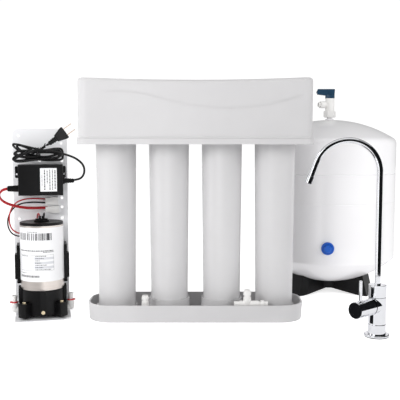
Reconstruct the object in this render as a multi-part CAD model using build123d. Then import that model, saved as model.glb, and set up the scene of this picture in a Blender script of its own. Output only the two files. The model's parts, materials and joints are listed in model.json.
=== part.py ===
from build123d import *
import os
from math import cos, radians, sin, sqrt, tan

# Under-sink reverse osmosis kit, standing on one floor at z = 0, in millimetres.
# The origin is the centre of the filter unit's tray, on the floor. +X is to the right,
# +Y is towards the wall behind the kit, and +Z is up.

# ---------------------------------------------------------------- clearances
RUNNING_GAP = 0.3        # between curved faces that turn on each other
LOOSE_GAP = 0.5          # between pieces that lift apart
FIT_GAP = 0.05           # between a pin and the hole that holds it
TUBE_RADIUS = 3.15       # quarter-inch tube
TUBE_BORE = 2.1
TUBE_SOCKET = 3.2        # bore of every push-fit port
CHANNEL_RADIUS = 2.4     # water way inside a fitting

# ---------------------------------------------------------------- filter unit
CANISTER_PITCH = 97.5
TRAY_END = 51.25         # from an end canister's axis to the tray's end
TRAY_LENGTH = 3 * CANISTER_PITCH + 2 * TRAY_END
TRAY_DEPTH = 120.0
TRAY_HEIGHT = 31.5
TRAY_CORNER = 45.0
TRAY_DRAFT = 2.0         # how much wider the rim is than the floor, each side
TRAY_WALL = 3.0
TRAY_FLOOR = 3.0
CUP_WALL = 3.0
CUP_FLOOR = 3.0
INNER_CUP_RIM = 35.5     # cups of the two middle canisters
OUTER_CUP_RIM = 22.0     # cups of the two end canisters

CANISTER_TOP_RADIUS = 37.0
CANISTER_FOOT_RADIUS = 34.0
CANISTER_WALL = 2.5
INNER_FOOT_Z = 12.0      # underside of the two middle canisters
OUTER_FOOT_Z = 8.0       # underside of the two end canisters
SHOULDER_Z = 334.0       # top of every canister's full diameter
NECK_RADIUS = 28.0
NECK_HEIGHT = 18.0
LUG_RADIUS = 31.0
LUG_WIDTH = 14.0
LUG_HEIGHT = 6.0
SPIGOT_RADIUS = 9.2
SPIGOT_HEIGHT = 10.0
SPIGOT_BORE = 6.0

HEAD_RADIUS = 40.0
HEAD_LIP = 6.0           # bayonet lip under the lugs
HEAD_COVERING = 20.0     # of the head above a canister's neck
HEAD_TOP_Z = SHOULDER_Z + NECK_HEIGHT + HEAD_COVERING   # where the bracket plate sits
HEAD_BOSS_RADIUS = 25.0
HEAD_BOSS_HEIGHT = 12.0
PORT_OFFSET = 18.0       # from a head's axis to each of its two ports
O_RING_RADIUS = 0.9
O_RING_RISE = 6.0        # of the spigot's O-ring above a canister's neck
CROSSWAY_DROP = 4.0      # of a head's level water way below its top

BRACKET_END = 49.75      # from an end canister's axis to the bracket's end
BRACKET_LENGTH = 3 * CANISTER_PITCH + 2 * BRACKET_END
BRACKET_SHEET = 3.0
BRACKET_FLANGE_Z = SHOULDER_Z - 9.0

FITTING_RADIUS = 6.5
ELBOW_HEIGHT = 14.0
ELBOW_REACH = 14.0
REAR_PORT_Z = SHOULDER_Z + 11.0
REAR_PORT_REACH = 12.0
REAR_PORT_RADIUS = 7.5
REAR_PORT_STUB = 5.6     # radius of a rear port's upright branch
REAR_PORT_NECK = 6.0     # radius where it passes through the flange
REAR_PORT_STUB_TOP = SHOULDER_Z + 28.0
REAR_PORT_OUTER = CANISTER_PITCH + 22.5     # clear of the cover's posts
REAR_PORTS = (-REAR_PORT_OUTER, -40.0, 40.0, REAR_PORT_OUTER)
VALVE_BLOCK = (36.0, 20.0, 20.0)   # automatic shut-off valve
RESTRICTOR_RADIUS = 6.0
RESTRICTOR_LENGTH = 14.0
SHUT_OFF_Z = SHOULDER_Z + 66.0

COVER_END = 61.25        # from an end canister's axis to the cover's end
COVER_LENGTH = 3 * CANISTER_PITCH + 2 * COVER_END
REAR_PORT_Y = HEAD_RADIUS + 8.0     # the rear ports stand just behind the heads
BRACKET_FRONT = -50.0
BRACKET_BACK = REAR_PORT_Y + 10.0
COVER_GAP = 6.0          # from the bracket's back edge to the cover's outer face
COVER_DEPTH = 2 * (BRACKET_BACK + COVER_GAP)
COVER_LOW = SHOULDER_Z - 14.5
COVER_END_TOP = COVER_LOW + 117.0
COVER_MIDDLE_TOP = COVER_END_TOP - 4.9
COVER_CORNER = 18.0
COVER_EDGE = 6.0
COVER_WALL = 2.8
SKIRT_GROWTH = 2.5       # how far the bottom skirt stands out
SKIRT_HEIGHT = 10.5
SKIRT_FLARE = 3.5
WAVE_WIDTH = 1.8
WAVE_PROUD = 0.7
POST_RADIUS = 5.0
POST_Y = 42.0
REAR_NOTCH_MARGIN = 20.0
REAR_NOTCH_HALF = REAR_PORTS[-1] + REAR_NOTCH_MARGIN
REAR_NOTCH_TOP = REAR_PORT_Z + 11.0

TEE_X = CANISTER_PITCH - 3.5       # tee standing between the third and fourth canisters
TEE_Y = 16.0 - TRAY_DEPTH / 2
TEE_Z = 31.0
TEE_LEFT = 24.0
TEE_RIGHT = 37.0
TEE_TOP = 57.5
UNION_X = 6.5 - CANISTER_PITCH     # union standing between the first and second canisters
UNION_Y = 20.0 - TRAY_DEPTH / 2
UNION_TOP = 46.5

# ---------------------------------------------------------------- tank
TANK_X = 288.0
TANK_Y = 221.0
TANK_RADIUS = 139.7
TANK_BOTTOM = 24.0
TANK_TOP = 371.6
TANK_UPPER_CROWN = 247.2
TANK_LOWER_CROWN = 203.7
TANK_UPPER_KNUCKLE = 14.0
TANK_LOWER_KNUCKLE = 7.0
TANK_SHEET = 1.6
SEAM_Z = 258.5
SEAM_GROOVE = 1.3
CLINCH_Z = 199.5         # ring that holds the diaphragm
NIPPLE_RADIUS = 5.5
NIPPLE_BORE = 3.0
NIPPLE_TOP = 386.0

STAND_ANGLES = (90.0, 210.0, 330.0)
STAND_FOOT_RADIUS = 95.0
STAND_FOOT_LENGTH = 13.0
STAND_SPLAY = 12.0
STAND_HUB_RADIUS = 24.0
STAND_HUB_LOW = 10.0
STAND_ARM_HUB_WIDTH = 18.0
STAND_ARM_WIDTH = 42.0
STAND_ARM_TOP = 50.0

LOWER_RIM_Z = TANK_BOTTOM + TANK_LOWER_CROWN - sqrt(TANK_LOWER_CROWN ** 2 - TANK_RADIUS ** 2)
AIR_VALVE_Z = LOWER_RIM_Z + 33.5
AIR_VALVE_ANGLE = 259.4
AIR_STEM_RADIUS = 4.0
AIR_STEM_LENGTH = 9.0
CAP_FLANGE_RADIUS = 12.75
CAP_FLANGE_THICK = 3.0
CAP_KNOB_RADIUS = 7.0
CAP_LENGTH = 11.5
CAP_GAP = 0.9            # cap flange to tank wall

VALVE_NUT_ACROSS = 23.0
VALVE_LOW = 377.0
VALVE_NUT_TOP = 391.0
VALVE_TOP = 417.6
VALVE_RADIUS = 9.65
BALL_Z = 404.0
BALL_RADIUS = 6.8
STEM_RADIUS = 3.0
VALVE_PORT_ANGLE = 195.0
VALVE_STUB_RADIUS = 5.9
VALVE_STUB_END = 14.5
PORT_NUT_RADIUS = 7.4
PORT_NUT_START = 11.0
PORT_NUT_END = 26.6
LEVER_HUB_RADIUS = 10.0
LEVER_HUB_HEIGHT = 7.0
LEVER_LENGTH = 39.0
LEVER_HEIGHT = 12.6
LEVER_WIDTH = 9.0

# ---------------------------------------------------------------- faucet
FAUCET_X = 303.5
FAUCET_Y = -142.0
GASKET_THICK = 1.5
FLANGE_RADIUS = 20.9
FLANGE_TOP = 5.0
BODY_RADIUS = 14.75
COLLAR_LOW = 66.6        # seam between the fixed body and the turning collar
COLLAR_TOP = 87.6
SPOUT_RADIUS = 4.9
SPOUT_WALL = 1.0
SPOUT_TOP = 331.0
SPOUT_RISE_BEND = 51.5
SPOUT_FALL_BEND = 57.5
SPOUT_FALL_ANGLE = 70.0
SPOUT_END_RUN = 32.0
AERATOR_RADIUS = SPOUT_RADIUS + 0.85
AERATOR_WALL = 1.2
AERATOR_LENGTH = 13.0
BARREL_RADIUS = 13.75
BARREL_Z = 53.0
BARREL_ANGLE = 221.3
BARREL_JOINT = 20.0
BARREL_END = 61.0
CARTRIDGE_RADIUS = 8.6
CARTRIDGE_END = 36.0
PIN_PLACE = 47.0         # along the barrel
PIN_RADIUS = 2.6
PIN_TOP = 100.0
SHANK_HOLE_RADIUS = 5.0
SHANK_HOLE_DEPTH = 20.0
GROOVE = 0.6

# ---------------------------------------------------------------- booster station
BOOSTER_AWAY = 78.5      # from the cover's end to the middle of the station
BOOSTER_X = -(COVER_LENGTH / 2 + BOOSTER_AWAY)
BOOSTER_TURN = 13.3      # the station faces the same way as a person at the sink
MOTOR_RADIUS = 39.5
PANEL_WIDTH = 2 * (MOTOR_RADIUS + 11.0)
PANEL_HEIGHT = 349.0
PANEL_FRONT = MOTOR_RADIUS + 5.5
PANEL_SHEET = 1.5
PANEL_CORNER = 11.0
PANEL_FLANGE = 9.0
SHELF_FRONT = -MOTOR_RADIUS - 9.5
PANEL_HOLE = 2.65

MOTOR_LOW = 54.0
MOTOR_TOP = 172.0
MOTOR_WALL = 2.0
END_CAP_HEIGHT = 5.0
TERMINAL_TOP = 187.0
TERMINAL_X = 3.0
SHAFT_RADIUS = 4.0
ARMATURE_RADIUS = 27.0
BEARING_RADIUS = 9.0
PUMP_LOW = 5.0
PUMP_RADIUS = MOTOR_RADIUS + 1.0
PUMP_LUG_REACH = MOTOR_RADIUS + 14.5
PUMP_LUG_HEIGHT = 26.0
PUMP_EAR_REACH = MOTOR_RADIUS + 4.0
PUMP_SCREW_RADIUS = 3.4
CHAMBER_RADIUS = 30.0
CHAMBER_FLOOR = 16.0     # of the diaphragm's chamber above the pump's foot
SADDLE_HALF = MOTOR_RADIUS + 6.2
SADDLE_LOW = 62.0
SADDLE_HIGH = 133.0
PAD_THICK = 3.6
ELBOW_SEAT = MOTOR_RADIUS + 3.5
ELBOW_X = ELBOW_SEAT + 8.0
ELBOW_RADIUS = 6.3
ELBOW_Z = 14.0
ELBOW_TOP = 26.5
CLIP_THICK = 2.0
COLLET_RADIUS = 4.4
COLLET_TOP = 40.0

CASE_HALF = 40.3
CASE_LOW = 225.6
CASE_HIGH = 282.0
CASE_FRONT = -12.0
CASE_WALL = 2.5
CORD_RADIUS = 2.0
LEAD_RADIUS = 1.3
SUPPLY_RADIUS = 1.7
CORD_EXIT_Z = 251.5
CORD_EXIT_Y = 8.0
SUPPLY_EXIT_Z = 238.0

STAND = (Align.CENTER, Align.CENTER, Align.MIN)


# ---------------------------------------------------------------- shared shapes
def rod(radius, low, high, x=0.0, y=0.0):
    """An upright cylinder between two heights."""
    return Pos(x, y, low) * Cylinder(radius, high - low, align=STAND)


def block(x0, x1, y0, y1, z0, z1):
    """A box between two corners."""
    return Pos((x0 + x1) / 2, (y0 + y1) / 2, (z0 + z1) / 2) * Box(x1 - x0, y1 - y0, z1 - z0)


def spun(*outline):
    """A solid turned about Z from an outline of (radius, height) points."""
    points = [(radius, 0, height) for radius, height in outline]
    return revolve(make_face(Polyline(*points, close=True)), Axis.Z)


def bar(radius, start, end):
    """A cylinder from one point to another."""
    start = Vector(*start)
    run = Vector(*end) - start
    return Plane(origin=start, z_dir=run) * Cylinder(radius, run.length, align=STAND)


def plate(outline, low, high):
    """An upright extrusion of a flat outline between two heights."""
    return Pos(0, 0, low) * extrude(outline, high - low)


def tube_path(points):
    """Straight runs joined by arcs as large as the runs on both sides allow."""
    places = [Vector(*point) for point in points]
    radii = []
    for before, corner, after in zip(places, places[1:], places[2:]):
        turn = (corner - before).get_angle(after - corner)
        shorter = min((corner - before).length, (after - corner).length)
        radii.append(0.45 * shorter / tan(radians(turn) / 2))
    return FilletPolyline(*points, radius=radii), radii


def tube(points, radius, bore=0.0):
    """A round tube or cord along a path of straight runs and arcs."""
    path, radii = tube_path(points)
    section = Plane(origin=path @ 0, z_dir=path % 0) * Circle(radius)
    if bore:
        section -= Plane(origin=path @ 0, z_dir=path % 0) * Circle(bore)
    solid = sweep(section, path=path)
    area = 3.14159265 * (radius ** 2 - bore ** 2)
    print("tube: length", round(path.length, 1), "least bend", round(min(radii), 1),
          "volume ratio", round(solid.volume / (area * path.length), 4))
    return solid


def save(name, *pieces):
    """Write one node from its separate solids."""
    solids = [solid for piece in pieces for solid in piece.solids()]
    export_step(Compound(children=solids), f"parts/{name}.step")


# ---------------------------------------------------------------- filter unit
def canister_x(index):
    return (index - 1.5) * CANISTER_PITCH


def canister_foot(index):
    return INNER_FOOT_Z if index in (1, 2) else OUTER_FOOT_Z


NECK_TOP = SHOULDER_Z + NECK_HEIGHT
SPIGOT_TOP = NECK_TOP + SPIGOT_HEIGHT
LUG_TOP = NECK_TOP - 2.0
LUG_LOW = LUG_TOP - LUG_HEIGHT
HEAD_LOW = LUG_LOW - RUNNING_GAP - HEAD_LIP
O_RING_Z = NECK_TOP + O_RING_RISE
BOSS_TOP = HEAD_TOP_Z + HEAD_BOSS_HEIGHT
PLATE_TOP = HEAD_TOP_Z + BRACKET_SHEET


def base_tray():
    top = RectangleRounded(TRAY_LENGTH, TRAY_DEPTH, TRAY_CORNER)
    low = RectangleRounded(TRAY_LENGTH - 2 * TRAY_DRAFT, TRAY_DEPTH - 2 * TRAY_DRAFT,
                           TRAY_CORNER - TRAY_DRAFT)
    outer = loft([low, Pos(0, 0, TRAY_HEIGHT) * top])
    outer = fillet(outer.edges().group_by(Axis.Z)[0], 2.0)
    hollow_low = RectangleRounded(TRAY_LENGTH - 2 * TRAY_DRAFT - 2 * TRAY_WALL,
                                  TRAY_DEPTH - 2 * TRAY_DRAFT - 2 * TRAY_WALL,
                                  TRAY_CORNER - TRAY_DRAFT - TRAY_WALL)
    hollow_top = RectangleRounded(TRAY_LENGTH - 2 * TRAY_WALL, TRAY_DEPTH - 2 * TRAY_WALL,
                                  TRAY_CORNER - TRAY_WALL)
    tray = outer - loft([Pos(0, 0, TRAY_FLOOR) * hollow_low, Pos(0, 0, TRAY_HEIGHT) * hollow_top])
    bore = CANISTER_FOOT_RADIUS + LOOSE_GAP + 0.3
    for index in range(4):
        x = canister_x(index)
        rim = INNER_CUP_RIM if index in (1, 2) else OUTER_CUP_RIM
        floor = canister_foot(index) - LOOSE_GAP
        cup = rod(bore + CUP_WALL, 0, rim, x)
        cup -= rod(bore, floor, rim, x)
        cup -= rod(bore - CUP_WALL, 0, floor - CUP_FLOOR, x)
        tray = tray - rod(bore + CUP_WALL, 0, TRAY_FLOOR, x) + cup
    return tray


def tray_tee():
    """Push-fit tee: a post on the tray's floor, three branches, each with its collet and ring."""
    x, y, z = TEE_X, TEE_Y, TEE_Z
    left = (x - TEE_LEFT, y, z)
    right = (x + TEE_RIGHT, y, z)
    post = block(x - 6, x + 6, y - 6, y + 6, TRAY_FLOOR, z)
    body = bar(FITTING_RADIUS, (x - 14, y, z), (x + 20, y, z)) + rod(7.2, z, z + 13, x, y)
    collets = bar(5.2, left, right) + rod(5.6, z + 13, TEE_TOP, x, y)
    rings = bar(7.2, (x + 24, y, z), (x + 30, y, z)) + rod(7.2, TEE_TOP - 9.5, TEE_TOP - 3.5, x, y)
    return post + body + collets + rings - bar(TUBE_SOCKET, left, right) - rod(
        TUBE_SOCKET, z, TEE_TOP, x, y)


def tray_union():
    """Straight push-fit union standing on the tray's floor."""
    x, y = UNION_X, UNION_Y
    collet_low = UNION_TOP - 10.5
    union = rod(FITTING_RADIUS, TRAY_FLOOR, collet_low, x, y) + rod(5.4, collet_low, UNION_TOP, x, y)
    union += rod(6.6, UNION_TOP - 7.5, UNION_TOP - 3, x, y)
    return union - rod(TUBE_SOCKET, TRAY_FLOOR + 4, UNION_TOP, x, y)


def canister(index):
    x = canister_x(index)
    foot = canister_foot(index)
    shell = spun((0, foot), (CANISTER_FOOT_RADIUS, foot), (CANISTER_TOP_RADIUS, SHOULDER_Z - 4),
                 (CANISTER_TOP_RADIUS - 3, SHOULDER_Z), (NECK_RADIUS, SHOULDER_Z),
                 (NECK_RADIUS, NECK_TOP), (SPIGOT_RADIUS, NECK_TOP), (SPIGOT_RADIUS, SPIGOT_TOP),
                 (0, SPIGOT_TOP))
    shell = fillet(shell.edges().sort_by(Axis.Z)[0], 5.0)
    wall = CANISTER_WALL
    shell -= spun((0, foot + wall), (CANISTER_FOOT_RADIUS - wall, foot + wall),
                  (CANISTER_TOP_RADIUS - wall, SHOULDER_Z - 6), (NECK_RADIUS - wall, SHOULDER_Z - 2),
                  (NECK_RADIUS - wall, NECK_TOP - wall), (0, NECK_TOP - wall))
    shell -= rod(SPIGOT_BORE, NECK_TOP - wall, SPIGOT_TOP)
    lugs = block(-LUG_RADIUS, LUG_RADIUS, -LUG_WIDTH / 2, LUG_WIDTH / 2, LUG_LOW, LUG_TOP)
    lugs = (lugs & rod(LUG_RADIUS, LUG_LOW, LUG_TOP)) - rod(NECK_RADIUS - 0.5, LUG_LOW, LUG_TOP)
    feed_hole = rod(CHANNEL_RADIUS, NECK_TOP - wall, NECK_TOP, PORT_OFFSET)
    return Pos(x, 0, 0) * (shell + lugs - feed_hole)


def core(index, radius, bore, low_gap, high):
    """A filter element standing inside a canister, with end discs."""
    x = canister_x(index)
    low = canister_foot(index) + CANISTER_WALL + low_gap
    body = rod(radius, low, high, x) + rod(radius + 1.5, low, low + 5, x)
    body += rod(radius + 1.5, high - 5, high, x)
    return body - rod(bore, low + 5, high, x)


def membrane():
    """Wound membrane on a perforated core tube, with its brine seal."""
    x = canister_x(2)
    low = canister_foot(2) + CANISTER_WALL + 4
    body = rod(22.5, low + 18, SHOULDER_Z - 34, x) + rod(8.5, low, SHOULDER_Z - 12, x)
    body += rod(29.0, SHOULDER_Z - 44, SHOULDER_Z - 38, x)
    return body - rod(5.0, low, SHOULDER_Z - 12, x)


def filter_head(index):
    x = canister_x(index)
    chamber = LUG_RADIUS + RUNNING_GAP + 0.1
    throat = NECK_RADIUS + RUNNING_GAP + 0.1
    socket = SPIGOT_RADIUS + RUNNING_GAP + 0.1
    socket_top = SPIGOT_TOP + 1.5
    head = rod(HEAD_RADIUS, HEAD_LOW, HEAD_TOP_Z) + rod(HEAD_BOSS_RADIUS, HEAD_TOP_Z, BOSS_TOP)
    head -= rod(throat, HEAD_LOW, LUG_LOW) + rod(chamber, LUG_LOW - RUNNING_GAP, NECK_TOP + 0.4)
    slot = LUG_WIDTH / 2 + LOOSE_GAP
    head -= block(-slot, slot, -chamber, chamber, HEAD_LOW, LUG_LOW) & rod(chamber, HEAD_LOW, LUG_LOW)
    head -= rod(socket, NECK_TOP, socket_top)
    groove = socket + 2 * O_RING_RADIUS - 0.3
    head -= rod(groove, O_RING_Z - O_RING_RADIUS - 0.2, O_RING_Z + O_RING_RADIUS + 0.2)
    head -= rod(CHANNEL_RADIUS, NECK_TOP, BOSS_TOP, PORT_OFFSET)
    crossway = HEAD_TOP_Z - CROSSWAY_DROP
    head -= rod(CHANNEL_RADIUS, crossway - 2, BOSS_TOP, -PORT_OFFSET)
    head -= rod(CHANNEL_RADIUS, socket_top, crossway + 1)
    head -= bar(CHANNEL_RADIUS, (-PORT_OFFSET, 0, crossway), (0, 0, crossway))
    return Pos(x, 0, 0) * head


def head_seal(index):
    ring = Torus(SPIGOT_RADIUS + 0.1 + O_RING_RADIUS, O_RING_RADIUS)
    return Pos(canister_x(index), 0, O_RING_Z) * ring


def elbow(x, y, low, direction):
    """A push-fit elbow: an upright stem and one level branch."""
    centre = (x, y, low + ELBOW_HEIGHT)
    mouth = (x + ELBOW_REACH * direction[0], y + ELBOW_REACH * direction[1], low + ELBOW_HEIGHT)
    body = rod(FITTING_RADIUS, low, low + ELBOW_HEIGHT, x, y) + bar(FITTING_RADIUS, centre, mouth)
    body += Pos(*centre) * Sphere(FITTING_RADIUS)
    return body - bar(TUBE_SOCKET, centre, mouth) - rod(CHANNEL_RADIUS, low, low + ELBOW_HEIGHT, x, y)


def rear_port(x):
    """A bulkhead port through the bracket's rear flange, with an upright inner branch."""
    flange_front = BRACKET_BACK - BRACKET_SHEET
    outer_end = BRACKET_BACK + REAR_PORT_REACH
    body = bar(REAR_PORT_RADIUS, (x, REAR_PORT_Y - 6.5, REAR_PORT_Z), (x, flange_front, REAR_PORT_Z))
    body += bar(REAR_PORT_NECK, (x, flange_front, REAR_PORT_Z), (x, BRACKET_BACK, REAR_PORT_Z))
    body += bar(REAR_PORT_RADIUS, (x, BRACKET_BACK, REAR_PORT_Z), (x, outer_end, REAR_PORT_Z))
    body += rod(REAR_PORT_STUB, REAR_PORT_Z, REAR_PORT_STUB_TOP, x, REAR_PORT_Y)
    body -= bar(TUBE_SOCKET, (x, REAR_PORT_Y, REAR_PORT_Z), (x, outer_end, REAR_PORT_Z))
    return body - rod(TUBE_SOCKET, REAR_PORT_Z, REAR_PORT_STUB_TOP, x, REAR_PORT_Y)


def head_bracket():
    half = BRACKET_LENGTH / 2
    middle = (BRACKET_FRONT + BRACKET_BACK) / 2
    outline = Pos(0, middle) * RectangleRounded(BRACKET_LENGTH, BRACKET_BACK - BRACKET_FRONT, 8)
    bracket = plate(outline, HEAD_TOP_Z, PLATE_TOP)
    bracket += block(-half + 8, half - 8, BRACKET_BACK - BRACKET_SHEET, BRACKET_BACK,
                     BRACKET_FLANGE_Z, HEAD_TOP_Z)
    for index in range(4):
        bracket -= rod(HEAD_BOSS_RADIUS + FIT_GAP, HEAD_TOP_Z, PLATE_TOP, canister_x(index))
    for x in REAR_PORTS:
        bracket -= bar(REAR_PORT_NECK + FIT_GAP, (x, BRACKET_BACK - BRACKET_SHEET, REAR_PORT_Z),
                       (x, BRACKET_BACK, REAR_PORT_Z))
        bracket -= rod(TUBE_RADIUS + 1, HEAD_TOP_Z, PLATE_TOP, x, REAR_PORT_Y)
    return bracket


STAGE_Z = BOSS_TOP + ELBOW_HEIGHT


def shut_off_valve():
    length, depth, height = VALVE_BLOCK
    half = length / 2
    y = REAR_PORT_Y
    body = block(-half, half, y - 14, y + depth / 2 - 1, SHUT_OFF_Z - height / 2, SHUT_OFF_Z + height / 2)
    body += rod(6.0, PLATE_TOP, SHUT_OFF_Z - height / 2, 0, y - 6)
    body += bar(FITTING_RADIUS, (-half - 8, y, SHUT_OFF_Z), (half + 8, y, SHUT_OFF_Z))
    body += rod(8.0, SHUT_OFF_Z + height / 2, SHUT_OFF_Z + height / 2 + 5, 0, y - 4)
    for side in (-1, 1):
        body -= bar(TUBE_SOCKET, (side * (half + 8), y, SHUT_OFF_Z), (side * (half - 6), y, SHUT_OFF_Z))
    return body


def stage_tubes():
    tubes = []
    inset = 10.0
    for index in range(3):
        start = canister_x(index) + PORT_OFFSET + ELBOW_REACH - inset
        end = canister_x(index + 1) - PORT_OFFSET - ELBOW_REACH + inset
        line = bar(TUBE_RADIUS, (start, 0, STAGE_Z), (end, 0, STAGE_Z))
        tubes.append(line - bar(TUBE_BORE, (start, 0, STAGE_Z), (end, 0, STAGE_Z)))
    foot = REAR_PORT_Z + 7
    for side in (-1, 1):
        port = side * REAR_PORTS[3]
        elbow_x = side * (canister_x(3) + PORT_OFFSET)
        tubes.append(tube([(port, REAR_PORT_Y, foot), (port, REAR_PORT_Y, STAGE_Z),
                           (elbow_x, REAR_PORT_Y, STAGE_Z), (elbow_x, 6, STAGE_Z)],
                          TUBE_RADIUS, TUBE_BORE))
        port = side * REAR_PORTS[2]
        socket = side * (VALVE_BLOCK[0] / 2 + 1)
        tubes.append(tube([(port, REAR_PORT_Y, foot), (port, REAR_PORT_Y, SHUT_OFF_Z),
                           (socket, REAR_PORT_Y, SHUT_OFF_Z)], TUBE_RADIUS, TUBE_BORE))
    return tubes


def push_fittings():
    fittings = [rear_port(x) for x in REAR_PORTS]
    for index in range(4):
        x = canister_x(index)
        inlet = (0, 1) if index == 0 else (-1, 0)
        outlet = (0, 1) if index == 3 else (1, 0)
        fittings.append(elbow(x - PORT_OFFSET, 0, BOSS_TOP, inlet))
        fittings.append(elbow(x + PORT_OFFSET, 0, BOSS_TOP, outlet))
    return fittings


def flow_restrictor():
    low = PLATE_TOP + 2
    x = REAR_PORTS[2]
    body = rod(RESTRICTOR_RADIUS, low, low + RESTRICTOR_LENGTH, x, REAR_PORT_Y)
    return body - rod(TUBE_RADIUS + FIT_GAP, low, low + RESTRICTOR_LENGTH, x, REAR_PORT_Y)


def cover_form(inset, low):
    """The cover's outer form, or its hollow when inset by the wall."""
    half = COVER_LENGTH / 2 - inset
    deep = COVER_DEPTH - 2 * inset
    end_top = COVER_END_TOP - inset
    sides = Polyline((-half, end_top), (-half, low), (half, low), (half, end_top))
    crown = ThreePointArc((half, end_top), (0, COVER_MIDDLE_TOP - inset), (-half, end_top))
    slab = extrude(Plane.XZ * make_face([sides, crown]), deep / 2, both=True)
    plan = plate(RectangleRounded(2 * half, deep, COVER_CORNER - inset), low, COVER_END_TOP + 5)
    form = slab & plan
    top_edges = [edge for edge in form.edges() if edge.center().Z > COVER_MIDDLE_TOP - 5]
    return fillet(top_edges, COVER_EDGE - inset)


def head_cover():
    cover = cover_form(0, COVER_LOW)
    skirt_long = COVER_LENGTH + 2 * SKIRT_GROWTH
    skirt_deep = COVER_DEPTH + 2 * SKIRT_GROWTH
    skirt_plan = RectangleRounded(skirt_long, skirt_deep, COVER_CORNER + SKIRT_GROWTH)
    skirt_top = COVER_LOW + SKIRT_HEIGHT
    cover += plate(skirt_plan, COVER_LOW, skirt_top)
    waist = RectangleRounded(COVER_LENGTH, COVER_DEPTH, COVER_CORNER)
    cover += loft([Pos(0, 0, skirt_top) * skirt_plan, Pos(0, 0, skirt_top + SKIRT_FLARE) * waist])
    bead = plate(skirt_plan, skirt_top - GROOVE, skirt_top)
    bead -= plate(RectangleRounded(skirt_long - 2 * GROOVE, skirt_deep - 2 * GROOVE,
                                   COVER_CORNER + SKIRT_GROWTH - GROOVE), skirt_top - GROOVE, skirt_top)
    cover -= bead
    cover -= cover_form(COVER_WALL, COVER_LOW)
    cover -= block(-REAR_NOTCH_HALF, REAR_NOTCH_HALF, COVER_DEPTH / 2 - 8, COVER_DEPTH / 2 + 8,
                   COVER_LOW, REAR_NOTCH_TOP)
    half = COVER_LENGTH / 2
    rise = Line((18.5 - half, COVER_LOW + 88), (47.5 - half, COVER_LOW + 91))
    crest = TangentArc(rise @ 1, (-60, COVER_LOW + 81), tangent=rise % 1)
    fall = TangentArc(crest @ 1, (half - 23, COVER_LOW + 85), tangent=crest % 1)
    wave = trace(Curve() + [crest, fall], line_width=WAVE_WIDTH)
    cover += extrude(Plane.XZ.offset(COVER_DEPTH / 2 - 0.5) * wave, WAVE_PROUD + 0.5)
    for x in (-CANISTER_PITCH, CANISTER_PITCH):
        for y in (-POST_Y, POST_Y):
            cover += rod(POST_RADIUS, PLATE_TOP, COVER_MIDDLE_TOP - COVER_WALL + 1.2, x, y)
    return cover


# ---------------------------------------------------------------- tank
def tank_form(inset):
    """The closed form of the tank at a depth below its outer surface."""
    form = rod(TANK_RADIUS - inset, 0, TANK_TOP + 10)
    form &= Pos(0, 0, TANK_TOP - TANK_UPPER_CROWN) * Sphere(TANK_UPPER_CROWN - inset)
    form &= Pos(0, 0, TANK_BOTTOM + TANK_LOWER_CROWN) * Sphere(TANK_LOWER_CROWN - inset)
    for place, knuckle in ((-1, TANK_UPPER_KNUCKLE), (0, TANK_LOWER_KNUCKLE)):
        circles = form.edges().filter_by(GeomType.CIRCLE).sort_by(Axis.Z)
        rims = [edge for edge in circles if abs(edge.radius - TANK_RADIUS + inset) < 0.01]
        form = fillet(rims[place], knuckle - inset)
    return form


def in_tank(*pieces):
    """Move pieces drawn on the tank's axis to the tank's place."""
    return [Pos(TANK_X, TANK_Y, 0) * piece for piece in pieces]


def ring_groove(radius, height, depth):
    return spun((radius - depth, height), (radius + 1, height - depth - 1),
                (radius + 1, height + depth + 1))


def tank_shells():
    shell = tank_form(0) - tank_form(TANK_SHEET)
    span = TANK_RADIUS + 5
    inner = TANK_RADIUS - TANK_SHEET
    upper = shell & block(-span, span, -span, span, SEAM_Z, TANK_TOP + 5)
    lower = shell & block(-span, span, -span, span, 0, SEAM_Z)
    lower += spun((inner, SEAM_Z - 8), (inner, SEAM_Z), (inner - FIT_GAP, SEAM_Z),
                  (inner - FIT_GAP, SEAM_Z + 8), (inner - 1.8, SEAM_Z + 8), (inner - 1.8, SEAM_Z - 6))
    upper += rod(9.0, TANK_TOP - TANK_SHEET, TANK_TOP + 2.4) + rod(NIPPLE_RADIUS, TANK_TOP, NIPPLE_TOP)
    upper -= rod(NIPPLE_BORE, TANK_TOP - 5, NIPPLE_TOP)
    seam = ring_groove(TANK_RADIUS, SEAM_Z, SEAM_GROOVE)
    lower = lower - seam - ring_groove(TANK_RADIUS, CLINCH_Z, GROOVE)
    lower -= air_placed(rod(AIR_STEM_RADIUS + FIT_GAP, -8, 2))
    return upper - seam, lower


def diaphragm():
    """Rubber bag wall between water above and air below, clinched at its rim."""
    inner = TANK_RADIUS - TANK_SHEET
    return spun((inner, CLINCH_Z - 5), (inner, CLINCH_Z + 5), (inner - 3, CLINCH_Z + 5),
                (inner - 3, CLINCH_Z - 3), (inner - 20, 140), (62, 112), (0, 106), (0, 104),
                (63, 110), (inner - 18, 138), (inner - 1.5, CLINCH_Z - 5))


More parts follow.
